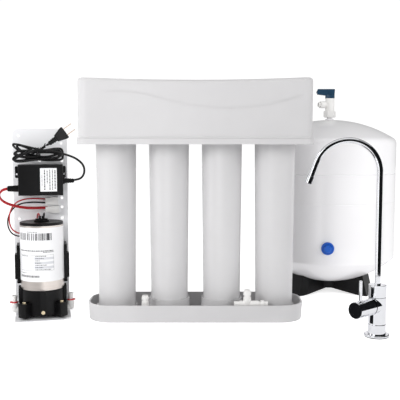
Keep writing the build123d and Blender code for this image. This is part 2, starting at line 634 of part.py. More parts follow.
def stand_arm(angle):
    """One arm of the stand: wide at its foot, thin at the hub, hollowed along its top."""
    foot = STAND_FOOT_RADIUS
    side = Polyline((0, STAND_HUB_LOW), (foot - STAND_FOOT_LENGTH, 0), (foot, 0),
                    (foot - STAND_SPLAY, STAND_ARM_TOP), (0, STAND_ARM_TOP), close=True)
    slab = extrude(Plane.XZ * make_face(side), STAND_ARM_WIDTH, both=True)
    near = STAND_ARM_HUB_WIDTH / 2
    far = STAND_ARM_WIDTH / 2
    plan = make_face(Polyline((0, -near), (foot - 25, -far), (foot + 5, -far), (foot + 5, far),
                              (foot - 25, far), (0, near), close=True))
    arm = slab & plate(plan, 0, STAND_ARM_TOP)
    pocket = make_face(Polyline((30, 4 - near), (foot - 30, 4 - far), (foot - 22, 4 - far),
                                (foot - 22, far - 4), (foot - 30, far - 4), (30, near - 4), close=True))
    arm -= plate(pocket, STAND_HUB_LOW + 3, STAND_ARM_TOP)
    return Rot(0, 0, angle) * arm


def tank_stand():
    stand = rod(STAND_HUB_RADIUS, STAND_HUB_LOW, TANK_BOTTOM + 4)
    for angle in STAND_ANGLES:
        stand += stand_arm(angle)
    return stand - tank_form(0)


def air_placed(piece):
    """Move a piece drawn standing at the origin to the air valve on the tank's side."""
    turn = radians(AIR_VALVE_ANGLE)
    outwards = (cos(turn), sin(turn), 0)
    origin = (TANK_RADIUS * outwards[0], TANK_RADIUS * outwards[1], AIR_VALVE_Z)
    return Plane(origin=origin, x_dir=(0, 0, 1), z_dir=outwards) * piece


def air_valve():
    stem = rod(AIR_STEM_RADIUS, -9, AIR_STEM_LENGTH) + rod(8, -9, -TANK_SHEET - 3)
    return air_placed(stem - rod(1.6, -4, AIR_STEM_LENGTH))


def air_valve_cap():
    cap = rod(CAP_FLANGE_RADIUS, CAP_GAP, CAP_GAP + CAP_FLANGE_THICK)
    cap = fillet(cap.edges().sort_by(Axis.Z)[-1], 1.2)
    cap += rod(CAP_KNOB_RADIUS, CAP_GAP + CAP_FLANGE_THICK, CAP_GAP + CAP_LENGTH)
    cap = fillet(cap.edges().sort_by(Axis.Z)[-1], 1.5)
    cap -= rod(AIR_STEM_RADIUS + RUNNING_GAP, CAP_GAP, AIR_STEM_LENGTH + 0.6)
    return air_placed(cap)


def port_ray(distance):
    turn = radians(VALVE_PORT_ANGLE)
    return (distance * cos(turn), distance * sin(turn), BALL_Z)


def valve_body():
    hexagon = RegularPolygon(VALVE_NUT_ACROSS / 2, 6, major_radius=False)
    body = plate(hexagon, VALVE_LOW, VALVE_NUT_TOP) & spun(
        (0, VALVE_LOW), (VALVE_NUT_ACROSS / 2, VALVE_LOW), (VALVE_NUT_ACROSS / 2 + 2, VALVE_LOW + 1.5),
        (VALVE_NUT_ACROSS / 2 + 2, VALVE_NUT_TOP - 1.5), (VALVE_NUT_ACROSS / 2, VALVE_NUT_TOP),
        (0, VALVE_NUT_TOP))
    body += rod(VALVE_RADIUS, VALVE_NUT_TOP - 1, VALVE_TOP)
    body += bar(VALVE_STUB_RADIUS, (0, 0, BALL_Z), port_ray(VALVE_STUB_END))
    body -= rod(NIPPLE_RADIUS + FIT_GAP, VALVE_LOW, NIPPLE_TOP + 0.5) + rod(2.5, NIPPLE_TOP, BALL_Z)
    body -= Pos(0, 0, BALL_Z) * Sphere(BALL_RADIUS + RUNNING_GAP)
    body -= rod(STEM_RADIUS + RUNNING_GAP, BALL_Z, VALVE_TOP)
    return body - bar(CHANNEL_RADIUS, (0, 0, BALL_Z), port_ray(VALVE_STUB_END))


def valve_port_nut():
    nut = bar(PORT_NUT_RADIUS, port_ray(PORT_NUT_START), port_ray(PORT_NUT_END - 4))
    nut += bar(5.2, port_ray(PORT_NUT_END - 4), port_ray(PORT_NUT_END))
    nut -= bar(VALVE_STUB_RADIUS + FIT_GAP, port_ray(PORT_NUT_START - 2), port_ray(VALVE_STUB_END + 0.2))
    return nut - bar(TUBE_SOCKET, port_ray(VALVE_STUB_END - 2), port_ray(PORT_NUT_END))


def valve_ball():
    ball = Pos(0, 0, BALL_Z) * Sphere(BALL_RADIUS)
    ball += rod(STEM_RADIUS, BALL_Z, VALVE_TOP + 5)
    ball -= rod(2.2, BALL_Z - BALL_RADIUS, BALL_Z)
    return ball - bar(2.2, (0, 0, BALL_Z), port_ray(BALL_RADIUS + 1))


def valve_lever():
    low = VALVE_TOP + RUNNING_GAP
    hub_top = low + LEVER_HUB_HEIGHT
    hub = rod(LEVER_HUB_RADIUS, low, hub_top)
    left = LEVER_HUB_RADIUS - LEVER_LENGTH
    top = hub_top + LEVER_HEIGHT
    side = Polyline((LEVER_HUB_RADIUS - 1, hub_top - 1), (LEVER_HUB_RADIUS, top - 1),
                    (LEVER_HUB_RADIUS - 1, top), (left + 3, top), (left, top - 7),
                    (left + 2.5, hub_top + 1), (-LEVER_HUB_RADIUS, hub_top - 1), close=True)
    grip = extrude(Plane.XZ * make_face(side), LEVER_WIDTH / 2, both=True)
    return hub + grip - rod(STEM_RADIUS + FIT_GAP, low, VALVE_TOP + 5)


# ---------------------------------------------------------------- faucet
def in_faucet(*pieces):
    return [Pos(FAUCET_X, FAUCET_Y, 0) * piece for piece in pieces]


def barrel_point(distance):
    turn = radians(BARREL_ANGLE)
    return (distance * cos(turn), distance * sin(turn), BARREL_Z)


def faucet_body():
    body = rod(BODY_RADIUS, FLANGE_TOP, COLLAR_LOW) - ring_groove(BODY_RADIUS, 21.5, GROOVE)
    body += rod(BODY_RADIUS - 3.5, COLLAR_LOW, COLLAR_TOP - 6)
    body += bar(BARREL_RADIUS, (0, 0, BARREL_Z), barrel_point(BARREL_JOINT - 1.5))
    body -= bar(CARTRIDGE_RADIUS + FIT_GAP, barrel_point(2), barrel_point(BARREL_JOINT))
    body -= rod(SHANK_HOLE_RADIUS, FLANGE_TOP, SHANK_HOLE_DEPTH)
    return body - rod(CHANNEL_RADIUS, SHANK_HOLE_DEPTH, COLLAR_TOP)


def faucet_flange():
    flange = rod(FLANGE_RADIUS, GASKET_THICK, FLANGE_TOP)
    flange = fillet(flange.edges().sort_by(Axis.Z)[-1], 1.5)
    return flange - rod(SHANK_HOLE_RADIUS, GASKET_THICK, FLANGE_TOP)


def faucet_seals():
    gasket = rod(FLANGE_RADIUS - 1, 0, GASKET_THICK) - rod(SHANK_HOLE_RADIUS, 0, GASKET_THICK)
    ring_low = COLLAR_TOP - 6
    washer = rod(BODY_RADIUS - 4, ring_low, ring_low + 0.8) - rod(4, ring_low, ring_low + 0.8)
    return [gasket, washer]


def faucet_cartridge():
    return bar(CARTRIDGE_RADIUS, barrel_point(3), barrel_point(CARTRIDGE_END)) - rod(
        CHANNEL_RADIUS, 0, COLLAR_TOP)


def handle_cap():
    cap = bar(BARREL_RADIUS, barrel_point(BARREL_JOINT), barrel_point(BARREL_END))
    cap = chamfer(cap.edges().filter_by(GeomType.CIRCLE), 0.7)
    cap -= bar(CARTRIDGE_RADIUS + RUNNING_GAP, barrel_point(BARREL_JOINT - 1),
               barrel_point(CARTRIDGE_END + 0.5))
    x, y, z = barrel_point(PIN_PLACE)
    return cap - rod(PIN_RADIUS + FIT_GAP, z + 2, z + BARREL_RADIUS + 1, x, y)


def lever_pin():
    x, y, z = barrel_point(PIN_PLACE)
    pin = rod(PIN_RADIUS, z + 2, PIN_TOP, x, y)
    return chamfer(pin.edges().sort_by(Axis.Z)[-1], 0.5)


def spout_path():
    """Gooseneck centre line in its own upright plane, reaching towards -X."""
    bend_z = SPOUT_TOP - SPOUT_RADIUS - SPOUT_RISE_BEND
    rise = Line((0, COLLAR_TOP - 3), (0, bend_z))
    over = ThreePointArc((0, bend_z),
                         (-SPOUT_RISE_BEND * (1 - sqrt(0.5)), bend_z + SPOUT_RISE_BEND * sqrt(0.5)),
                         (-SPOUT_RISE_BEND, bend_z + SPOUT_RISE_BEND))
    fall = JernArc(over @ 1, over % 1, SPOUT_FALL_BEND, SPOUT_FALL_ANGLE)
    end = PolarLine(fall @ 1, SPOUT_END_RUN, direction=fall % 1)
    return Plane.XZ * (Curve() + [rise, over, fall, end])


def spout_tube():
    path = spout_path()
    edges = Wire(path.edges())
    start = Plane(origin=edges @ 0, z_dir=edges % 0)
    outer = sweep(start * Circle(SPOUT_RADIUS), path=edges)
    inner = sweep(start * Circle(SPOUT_RADIUS - SPOUT_WALL), path=edges)
    low = COLLAR_LOW + RUNNING_GAP
    collar = rod(BODY_RADIUS, low, COLLAR_TOP)
    collar = chamfer(collar.edges().filter_by(GeomType.CIRCLE), GROOVE)
    collar -= rod(BODY_RADIUS - 3.5 + RUNNING_GAP, low, COLLAR_TOP - 5)
    return outer + collar - inner - rod(SPOUT_RADIUS - SPOUT_WALL, COLLAR_TOP - 6, COLLAR_TOP)


def aerator():
    edges = Wire(spout_path().edges())
    tip = Vector(edges @ 1)
    along = Vector(edges % 1)
    outer = bar(AERATOR_RADIUS, tip - along * (AERATOR_LENGTH - 3), tip + along * 3)
    outer = chamfer(outer.edges().filter_by(GeomType.CIRCLE), 0.5)
    outer -= bar(SPOUT_RADIUS + FIT_GAP, tip - along * AERATOR_LENGTH, tip)
    return outer - bar(SPOUT_RADIUS - AERATOR_WALL, tip - along, tip + along * 4)


# ---------------------------------------------------------------- booster station
def in_booster(*pieces):
    """Move pieces drawn about the motor's axis to the station's place and heading."""
    return [Pos(BOOSTER_X, 0, 0) * Rot(0, 0, BOOSTER_TURN) * piece for piece in pieces]


PANEL_BACK = PANEL_FRONT + PANEL_SHEET
PANEL_HOLES = ((-39.5, 335.5), (39.5, 321.5), (31.5, 305.5), (-1.0, 288.5), (40.5, 288.0),
               (-34.0, 295.5), (39.5, 216.5), (39.5, 199.0), (-41.0, 178.0), (39.5, 178.0),
               (-41.0, 20.0), (39.5, 20.0))


def mounting_panel():
    half = PANEL_WIDTH / 2
    face = Pos(0, PANEL_HEIGHT / 2) * Rectangle(PANEL_WIDTH, PANEL_HEIGHT)
    face = fillet(face.vertices().group_by(Axis.Y)[-1], PANEL_CORNER)
    panel = extrude(Plane.XZ.offset(-PANEL_BACK) * face, PANEL_SHEET)
    for side in (-1, 1):
        edge = side * half
        inner = edge - side * PANEL_SHEET
        panel += block(min(edge, inner), max(edge, inner), PANEL_FRONT, PANEL_FRONT + PANEL_FLANGE,
                       PANEL_SHEET, PANEL_HEIGHT - PANEL_CORNER)
    shelf = block(-half, half, SHELF_FRONT, PANEL_FRONT + 1, 0, PANEL_SHEET)
    shelf = fillet([edge for edge in shelf.edges().filter_by(Axis.Z) if edge.center().Y < 0], 5.0)
    panel += shelf
    for x, z in PANEL_HOLES:
        panel -= bar(PANEL_HOLE, (x, PANEL_FRONT - 1, z), (x, PANEL_BACK + 1, z))
    return panel


def motor_can():
    """Drawn steel can with a turned-in floor that takes the lower bearing."""
    can = rod(MOTOR_RADIUS, MOTOR_LOW, MOTOR_TOP)
    can -= rod(MOTOR_RADIUS - MOTOR_WALL, MOTOR_LOW + MOTOR_WALL, MOTOR_TOP)
    can -= rod(SHAFT_RADIUS + RUNNING_GAP, MOTOR_LOW, MOTOR_LOW + MOTOR_WALL)
    magnets = rod(MOTOR_RADIUS - MOTOR_WALL, MOTOR_LOW + 25, MOTOR_TOP - 25)
    magnets -= rod(ARMATURE_RADIUS + 1.5, MOTOR_LOW + 25, MOTOR_TOP - 25)
    magnets -= block(-8, 8, -MOTOR_RADIUS, MOTOR_RADIUS, MOTOR_LOW, MOTOR_TOP)
    return can + magnets


def motor_end_cap():
    cap = rod(MOTOR_RADIUS, MOTOR_TOP, MOTOR_TOP + END_CAP_HEIGHT)
    cap = fillet(cap.edges().sort_by(Axis.Z)[-1], 1.5)
    cap += rod(MOTOR_RADIUS - MOTOR_WALL - FIT_GAP, MOTOR_TOP - 4, MOTOR_TOP)
    cap += rod(14, MOTOR_TOP, MOTOR_TOP + END_CAP_HEIGHT + 2.5)
    cap += block(-11, 11, -5, 5, MOTOR_TOP, MOTOR_TOP + END_CAP_HEIGHT + 5)
    cap -= rod(BEARING_RADIUS, MOTOR_TOP - 4, MOTOR_TOP + 1)
    for x in (-TERMINAL_X, TERMINAL_X):
        cap += rod(2.4, MOTOR_TOP + END_CAP_HEIGHT + 4, TERMINAL_TOP, x)
        cap -= bar(LEAD_RADIUS + 0.2, (x, 0, TERMINAL_TOP - 3), (x, 3, TERMINAL_TOP - 3))
    return cap


def rotor():
    """Wound armature, commutator and cam on one shaft."""
    spindle = rod(SHAFT_RADIUS, PUMP_LOW + 22, MOTOR_TOP - 1)
    spindle += rod(ARMATURE_RADIUS, MOTOR_LOW + 28, MOTOR_TOP - 35)
    for step in range(6):
        slot = block(14, ARMATURE_RADIUS + 1, -1.5, 1.5, MOTOR_LOW + 28, MOTOR_TOP - 35)
        spindle -= Rot(0, 0, 60 * step) * slot
    spindle += rod(12, MOTOR_TOP - 28, MOTOR_TOP - 12)
    return spindle + rod(11, PUMP_LOW + 24, PUMP_LOW + 34, 1.5)


def pump_head():
    top = MOTOR_LOW
    lug_top = PUMP_LOW + PUMP_LUG_HEIGHT
    head = rod(PUMP_RADIUS, PUMP_LOW + 3, top)
    for turn in (45, 135, 225, 315):
        lug = block(28, PUMP_LUG_REACH + 1, -9, 9, PUMP_LOW, lug_top)
        head += Rot(0, 0, turn) * (lug & rod(PUMP_LUG_REACH, PUMP_LOW, lug_top))
    for side in (-1, 1):
        ear = side * PUMP_EAR_REACH
        head += block(min(0, ear), max(0, ear), -14, 14, top - 26, top + 2)
        head += bar(8.0, (0, 0, ELBOW_Z), (side * ELBOW_SEAT, 0, ELBOW_Z))
    head += block(-5, 5, -PUMP_RADIUS - 3.5, 0, PUMP_LOW + 3, top)
    head -= rod(MOTOR_RADIUS, top, top + 3)
    head -= rod(CHAMBER_RADIUS, PUMP_LOW + CHAMBER_FLOOR, top - 4) + rod(24, top - 5, top)
    for side in (-1, 1):
        head -= bar(TUBE_SOCKET, (side * 10, 0, ELBOW_Z), (side * ELBOW_SEAT, 0, ELBOW_Z))
    return head


def pump_diaphragm():
    low = PUMP_LOW + CHAMBER_FLOOR
    return rod(CHAMBER_RADIUS - FIT_GAP, low, low + 2) + rod(13, low + 2, low + 5)


def port_elbow(side):
    x = side * ELBOW_X
    seat = (side * ELBOW_SEAT, 0, ELBOW_Z)
    body = bar(ELBOW_RADIUS, seat, (x, 0, ELBOW_Z))
    body += rod(ELBOW_RADIUS, ELBOW_Z, ELBOW_TOP, x) + Pos(x, 0, ELBOW_Z) * Sphere(ELBOW_RADIUS)
    body += rod(ELBOW_RADIUS + 0.7, ELBOW_Z + 5, ELBOW_Z + 8, x)
    body += rod(COLLET_RADIUS, ELBOW_TOP, COLLET_TOP, x)
    body += rod(COLLET_RADIUS + 1.2, COLLET_TOP - 2, COLLET_TOP, x)
    body -= rod(TUBE_SOCKET, ELBOW_Z, COLLET_TOP, x)
    return body - bar(CHANNEL_RADIUS, seat, (x, 0, ELBOW_Z))


def elbow_clip(side):
    x = side * ELBOW_X
    clip = rod(ELBOW_RADIUS + 0.5, ELBOW_TOP, ELBOW_TOP + CLIP_THICK, x)
    tab = block(min(x, x + side * 9), max(x, x + side * 9), -3, 3, ELBOW_TOP, ELBOW_TOP + CLIP_THICK)
    clip += tab
    clip -= rod(COLLET_RADIUS + FIT_GAP, ELBOW_TOP, ELBOW_TOP + CLIP_THICK, x)
    return clip - block(x - 3, x + 3, 0, ELBOW_RADIUS + 2, ELBOW_TOP, ELBOW_TOP + CLIP_THICK)


def motor_saddle():
    """Moulded cradle between the motor and the panel, with two rubber pads."""
    cradle = block(-SADDLE_HALF, SADDLE_HALF, -5, PANEL_FRONT, SADDLE_LOW, SADDLE_HIGH)
    uprights = [edge for edge in cradle.edges().filter_by(Axis.X)]
    cradle = fillet(uprights, 6.0)
    cradle -= rod(MOTOR_RADIUS + FIT_GAP, SADDLE_LOW, SADDLE_HIGH)
    cradle -= block(-31, 31, -10, PANEL_FRONT - 4, SADDLE_LOW, SADDLE_HIGH)
    pads = [cradle]
    for side in (-1, 1):
        inner = side * SADDLE_HALF
        outer = inner + side * PAD_THICK
        pad = block(min(inner, outer), max(inner, outer), -7, 18, 71, 117)
        pads.append(fillet(pad.edges().filter_by(Axis.X), 2.0))
    return pads


def brass_screws():
    """Cap screws in the pump head's corners and its middle rib."""
    screws = []
    low = PUMP_LOW + PUMP_LUG_HEIGHT
    for turn in (45, 135, 225, 315):
        place = PUMP_LUG_REACH - 7
        screw = rod(PUMP_SCREW_RADIUS, low, low + 3, place) - rod(1.5, low + 1.5, low + 3, place)
        screws.append(Rot(0, 0, turn) * screw)
    front = -PUMP_RADIUS - 3.5
    screws.append(bar(PUMP_SCREW_RADIUS, (0, front, PUMP_LOW + 10), (0, front - 2, PUMP_LOW + 10)))
    return screws


def transformer_case():
    case = block(-CASE_HALF, CASE_HALF, CASE_FRONT, PANEL_FRONT, CASE_LOW, CASE_HIGH)
    case = fillet(case.edges().group_by(Axis.Y)[0], 2.5)
    case -= block(-CASE_HALF + CASE_WALL, CASE_HALF - CASE_WALL, CASE_FRONT + CASE_WALL,
                  PANEL_FRONT - CASE_WALL, CASE_LOW + CASE_WALL, CASE_HIGH - CASE_WALL)
    middle = CASE_HIGH - 14
    ear = block(-CASE_HALF - 6, -CASE_HALF + 1, 16, 20, middle - 11, middle + 11)
    ear = fillet([edge for edge in ear.edges().filter_by(Axis.Y) if edge.center().X < -CASE_HALF], 2.5)
    ear -= bar(1.8, (-CASE_HALF - 3, 15, middle - 4), (-CASE_HALF - 3, 21, middle - 4))
    other = mirror(ear, Plane.YZ)
    case = case + ear + other
    case -= bar(5.0, (CASE_HALF - 4, CORD_EXIT_Y, CORD_EXIT_Z), (CASE_HALF + 1, CORD_EXIT_Y, CORD_EXIT_Z))
    return case - bar(5.0, (-CASE_HALF - 1, CORD_EXIT_Y, SUPPLY_EXIT_Z),
                      (-CASE_HALF + 4, CORD_EXIT_Y, SUPPLY_EXIT_Z))


def transformer_core():
    """Laminated iron core with its bobbin and windings."""
    y = (CASE_FRONT + PANEL_FRONT) / 2
    z = (CASE_LOW + CASE_HIGH) / 2
    window = Box(10, 20, 26)
    core = Box(60, 18, 46) - Pos(-16, 0, 0) * window - Pos(16, 0, 0) * window
    winding = Box(36, 34, 25) - Box(22.1, 18.1, 27)
    return [Pos(0, y, z) * core, Pos(0, y, z) * winding]


def strain_reliefs():
    """Ribbed relief of the mains cord and tapered relief of the supply lead."""
    z = CORD_EXIT_Z
    y = CORD_EXIT_Y
    turn = Plane(origin=(CASE_HALF - 3, y, z), z_dir=(1, 0, 0))
    mains = spun((0, 0), (5, 0), (5, 3), (6.2, 3), (6.2, 6), (4.6, 7), (3.4, 24), (0, 24))
    for step in range(4):
        mains += spun((0, 8 + 4 * step), (4.9 - 0.3 * step, 8 + 4 * step),
                      (4.9 - 0.3 * step, 10.2 + 4 * step), (0, 10.2 + 4 * step))
    mains -= rod(CORD_RADIUS, 0, 24)
    low = Plane(origin=(-CASE_HALF + 3, y, SUPPLY_EXIT_Z), z_dir=(-1, 0, 0))
    supply = spun((0, 0), (5, 0), (5, 3), (6.2, 3), (5.2, 22), (3.6, 23), (0, 23))
    supply -= rod(SUPPLY_RADIUS, 0, 23)
    return [turn * mains, low * supply]


CONNECTOR_X = 8.0
CONNECTOR_FRONT = PANEL_FRONT - 10.5
CONNECTOR_BORE_Y = CONNECTOR_FRONT + 5.2
UPPER_CONNECTOR = (24.0, 204.5, 218.5)     # length, low and high
LOWER_CONNECTOR = (26.0, 189.0, 201.5)


def connectors():
    """Two nylon plug-and-socket pairs lying against the panel."""
    housings = []
    for length, low, high in (UPPER_CONNECTOR, LOWER_CONNECTOR):
        end = CONNECTOR_X + length
        middle = (low + high) / 2
        box = block(CONNECTOR_X, end - 10, CONNECTOR_FRONT, PANEL_FRONT, low + 1, high - 1)
        box += block(end - 14, end, CONNECTOR_FRONT - 1, PANEL_FRONT, low, high)
        box += block(CONNECTOR_X + 5, end - 5, CONNECTOR_FRONT - 2.5, CONNECTOR_FRONT, middle - 2, middle + 2)
        for z in (middle - 3.4, middle + 3.4):
            box -= bar(SUPPLY_RADIUS + LOOSE_GAP, (CONNECTOR_X, CONNECTOR_BORE_Y, z),
                       (CONNECTOR_X + 6, CONNECTOR_BORE_Y, z))
        housings.append(box)
    return housings


# Each route runs from one fixed end to the other, in the station's own frame.
RED_ROUTE = [(12, 39.7, 214.9), (-12, 38, 217), (-30, 33, 216.5), (-45, 28, 211.5), (-54, 24, 201),
             (-58.5, 21, 187), (-58.5, 20, 172.5), (-54, 21, 160.5), (-44.5, 26, 152.8),
             (-32, 34, 150.5), (-19, 40, 153), (-10, 42, 162), (-8, 42, 176), (-7, 37, 187.5),
             (-5, 24, 189.5), (-3, 11, 184.6), (-3, 0, 184)]
BLACK_ROUTE = [(12, 39.7, 208.1), (-12, 41, 209.3), (-31, 38, 209), (-46, 33, 204.5),
               (-55.5, 29, 194.5), (-61.5, 26, 181), (-61.5, 24, 166), (-56, 25, 153.5),
               (-45.5, 30, 146.5), (-32, 37, 145.5), (-17, 41.5, 146.5), (-3, 42, 152), (4, 42, 164),
               (5, 41.5, 178), (5.5, 36, 188.5), (5, 23, 190), (3, 11, 184.6), (3, 0, 184)]
SUPPLY_ROUTE = [(-42, 8, 238), (-66, 8, 238), (-75, 9.5, 230), (-73.5, 12, 219), (-64, 14, 211),
                (-47, 18, 204.5), (-28, 26, 200.3), (-12, 34.8, 198.7), (1, 39.7, 198.65),
                (12, 39.7, 198.65)]
MAINS_ROUTE = [(40, 8, 251.5), (71, 8, 251.5), (84, 8.5, 262.5), (84, 9, 279), (71, 10, 291),
               (57, 11, 296.5), (43, 11, 296.5)]

HANK = (-50.0, 43.0, -6.0, 30.0, 284.5, 316.5)   # the folded mains cord on top of the case
HANK_ROUND = 8.0
TIE_THICK = 1.4
TIE_HALF = 3.0
PLUG_START = (17.0, 12.0, 321.0)
PLUG_RISE = 35.9         # tilt of the plug's axis above level
BLADE_SPREAD = 12.7
BLADE = (1.5, 6.3, 17.0)


def cord_hank():
    hank = block(*HANK)
    return fillet(hank.edges(), HANK_ROUND)


def cord_tie():
    x0, x1, y0, y1, z0, z1 = HANK
    grow = TIE_THICK
    band = block(-TIE_HALF, TIE_HALF, y0 - grow, y1 + grow, z0 - grow, z1 + grow)
    band = fillet(band.edges().filter_by(Axis.X), HANK_ROUND + grow)
    return band - cord_hank()


def plug_placed(piece):
    rise = radians(PLUG_RISE)
    return Plane(origin=PLUG_START, x_dir=(sin(rise), 0, -cos(rise)), z_dir=(cos(rise), 0, sin(rise))) * piece


def plug_body():
    relief = spun((0, -1), (3.4, -1), (4.8, 16), (0, 16))
    for step in range(3):
        relief += spun((0, 1 + 4 * step), (4.4 + 0.3 * step, 1 + 4 * step),
                       (4.4 + 0.3 * step, 3 + 4 * step), (0, 3 + 4 * step))
    flare = Polyline((-6.5, 15), (-12, 32.5), (-12, 36.5), (12, 36.5), (12, 32.5), (6.5, 15), close=True)
    grip = extrude(Plane.XZ * make_face(flare), 7.5, both=True)
    grip = fillet(grip.edges(), 1.8)
    tail = rod(CORD_RADIUS, -9, 0)
    thick, wide, _ = BLADE
    body = relief + grip + tail
    for side in (-1, 1):
        body -= Pos(side * BLADE_SPREAD / 2, 0, 34) * Box(thick, wide, 6)
    return plug_placed(body) - cord_hank()


def plug_blades():
    thick, wide, long = BLADE
    blades = []
    for side in (-1, 1):
        blade = Pos(side * BLADE_SPREAD / 2, 0, 31 + (long + 6) / 2) * Box(thick, wide, long + 6)
        hole = bar(1.5, (side * BLADE_SPREAD / 2 - 2, 0, 49), (side * BLADE_SPREAD / 2 + 2, 0, 49))
        blades.append(plug_placed(blade - hole))
    return blades


# ---------------------------------------------------------------- every node, one file each
os.makedirs("parts", exist_ok=True)

save("base_tray", base_tray())
save("tray_fittings", tray_tee(), tray_union())
save("head_bracket", head_bracket())
save("push_fittings", *push_fittings(), flow_restrictor())
save("auto_shutoff_valve", shut_off_valve())
save("stage_tubes", *stage_tubes())
save("head_seals", *[head_seal(index) for index in range(4)])
save("head_cover", head_cover())
for index in range(4):
    save(f"filter_head_{index + 1}", filter_head(index))
    save(f"canister_{index + 1}", canister(index))
save("sediment_core", core(0, 26.0, 12.0, 3.0, SHOULDER_Z - 14))
save("carbon_core", core(1, 26.0, 14.0, 3.0, SHOULDER_Z - 14))
save("membrane_element", membrane())
save("post_carbon_core", core(3, 24.0, 10.0, 3.0, SHOULDER_Z - 14))

upper_shell, lower_shell = tank_shells()
save("tank_shell_upper", *in_tank(upper_shell))
save("tank_shell_lower", *in_tank(lower_shell))
save("tank_diaphragm", *in_tank(diaphragm()))
save("tank_stand", *in_tank(tank_stand()))
save("air_valve", *in_tank(air_valve()))
save("air_valve_cap", *in_tank(air_valve_cap()))
save("valve_body", *in_tank(valve_body()))
save("valve_port_nut", *in_tank(valve_port_nut()))
save("valve_ball", *in_tank(valve_ball()))
save("valve_lever", *in_tank(valve_lever()))

save("faucet_flange", *in_faucet(faucet_flange()))
save("faucet_seals", *in_faucet(*faucet_seals()))
save("faucet_body", *in_faucet(faucet_body()))
save("faucet_cartridge", *in_faucet(faucet_cartridge()))
save("handle_cap", *in_faucet(handle_cap()))
save("lever_pin", *in_faucet(lever_pin()))
save("spout_tube", *in_faucet(spout_tube()))
save("aerator", *in_faucet(aerator()))

save("mounting_panel", *in_booster(mounting_panel()))
save("motor_can", *in_booster(motor_can()))
save("motor_end_cap", *in_booster(motor_end_cap()))
save("rotor", *in_booster(rotor()))
save("pump_head", *in_booster(pump_head()))
save("pump_diaphragm", *in_booster(pump_diaphragm()))
save("motor_saddle", *in_booster(*motor_saddle()))
save("port_elbows", *in_booster(port_elbow(-1), port_elbow(1)))
save("elbow_clips", *in_booster(elbow_clip(-1), elbow_clip(1)))
save("brass_screws", *in_booster(*brass_screws()))
save("transformer_case", *in_booster(transformer_case()))
save("transformer_core", *in_booster(*transformer_core()))
save("strain_reliefs", *in_booster(*strain_reliefs()))
save("connectors", *in_booster(*connectors()))
save("lead_red", *in_booster(tube(RED_ROUTE, LEAD_RADIUS)))
save("lead_black", *in_booster(tube(BLACK_ROUTE, LEAD_RADIUS)))
save("supply_lead", *in_booster(tube(SUPPLY_ROUTE, SUPPLY_RADIUS)))
save("mains_cord", *in_booster(tube(MAINS_ROUTE, CORD_RADIUS)))
save("cord_hank", *in_booster(cord_hank()))
save("cord_tie", *in_booster(cord_tie()))
save("plug_body", *in_booster(plug_body()))
save("plug_blades", *in_booster(*plug_blades()))
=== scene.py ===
import json

import bmesh
import bpy
from math import atan2, cos, pi, radians, sin
from mathutils import Matrix, Vector


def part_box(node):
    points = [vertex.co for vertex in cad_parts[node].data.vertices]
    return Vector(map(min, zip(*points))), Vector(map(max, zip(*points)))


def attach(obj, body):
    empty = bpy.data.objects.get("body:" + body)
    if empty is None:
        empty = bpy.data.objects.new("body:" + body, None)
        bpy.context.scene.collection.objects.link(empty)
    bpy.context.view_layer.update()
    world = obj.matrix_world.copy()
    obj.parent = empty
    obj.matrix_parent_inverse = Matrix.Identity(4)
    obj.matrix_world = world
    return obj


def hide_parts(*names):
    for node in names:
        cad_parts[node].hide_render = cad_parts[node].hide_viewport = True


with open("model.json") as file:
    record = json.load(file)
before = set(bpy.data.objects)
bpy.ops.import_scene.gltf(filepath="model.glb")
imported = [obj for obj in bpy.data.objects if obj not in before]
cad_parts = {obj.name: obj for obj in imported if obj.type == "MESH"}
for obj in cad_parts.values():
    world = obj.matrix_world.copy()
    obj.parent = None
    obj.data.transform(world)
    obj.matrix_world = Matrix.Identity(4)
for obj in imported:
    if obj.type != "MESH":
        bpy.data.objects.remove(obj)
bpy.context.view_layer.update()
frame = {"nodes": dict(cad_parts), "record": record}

# Camera: at the height of the cover's foot, looking a little down at the whole kit, with a
# lens long enough that the four assemblies keep their real proportions.
LENS_MM = 61.4
camera_data = bpy.data.cameras.new("camera")
camera_data.lens = LENS_MM
camera_data.sensor_width = 36.0
camera_data.clip_end = 30.0
camera = bpy.data.objects.new("camera", camera_data)
camera.location = (0.0085, -1.26, 0.32)
camera.rotation_euler = (radians(90 - 4.69), 0, 0)
bpy.context.collection.objects.link(camera)
bpy.context.scene.camera = camera

# Heading and axis are the frame's own.
motor_low, motor_high = (Vector(corner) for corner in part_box("motor_can"))
motor_middle = (motor_low + motor_high) / 2
hole_axis = next(mount["axis"] for mount in frame["record"]["mounts"] if mount["name"] == "panel_hole_3")
station_turn = atan2(hole_axis[0], -hole_axis[1])
station = Matrix.Translation((motor_middle.x, motor_middle.y, 0)) @ Matrix.Rotation(station_turn, 4, "Z")


# Mains cord: a round two-core cable in soft black vinyl, 4 mm thick. It leaves the transformer's
# ribbed relief, bends up and back, and is folded into a hank of long turns on top of the case,
# pinched by a twist tie. The turns fan out at their left ends, and the last one ends in the plug.
def curve_piece(name, points, radius, body):
    """A round cord on one NURBS spline along a list of points in the station's frame."""
    data = bpy.data.curves.new(name, "CURVE")
    data.dimensions = "3D"
    data.bevel_depth = 1.0
    data.bevel_resolution = 6
    data.resolution_u = 10
    data.use_fill_caps = True
    spline = data.splines.new("NURBS")
    spline.points.add(len(points) - 1)
    for control, point in zip(spline.points, points):
        control.co = (*(station @ Vector(point)), 1)
        control.radius = radius
    spline.order_u = 3
    spline.use_endpoint_u = True
    piece = bpy.data.objects.new(name, data)
    bpy.context.collection.objects.link(piece)
    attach(piece, body)
    return piece


def linear(hex_code):
    """An sRGB hex colour as the linear values that a shader takes."""
    channels = [int(hex_code[place:place + 2], 16) / 255 for place in (1, 3, 5)]
    return (*(c / 12.92 if c <= 0.04045 else ((c + 0.055) / 1.055) ** 2.4 for c in channels), 1)


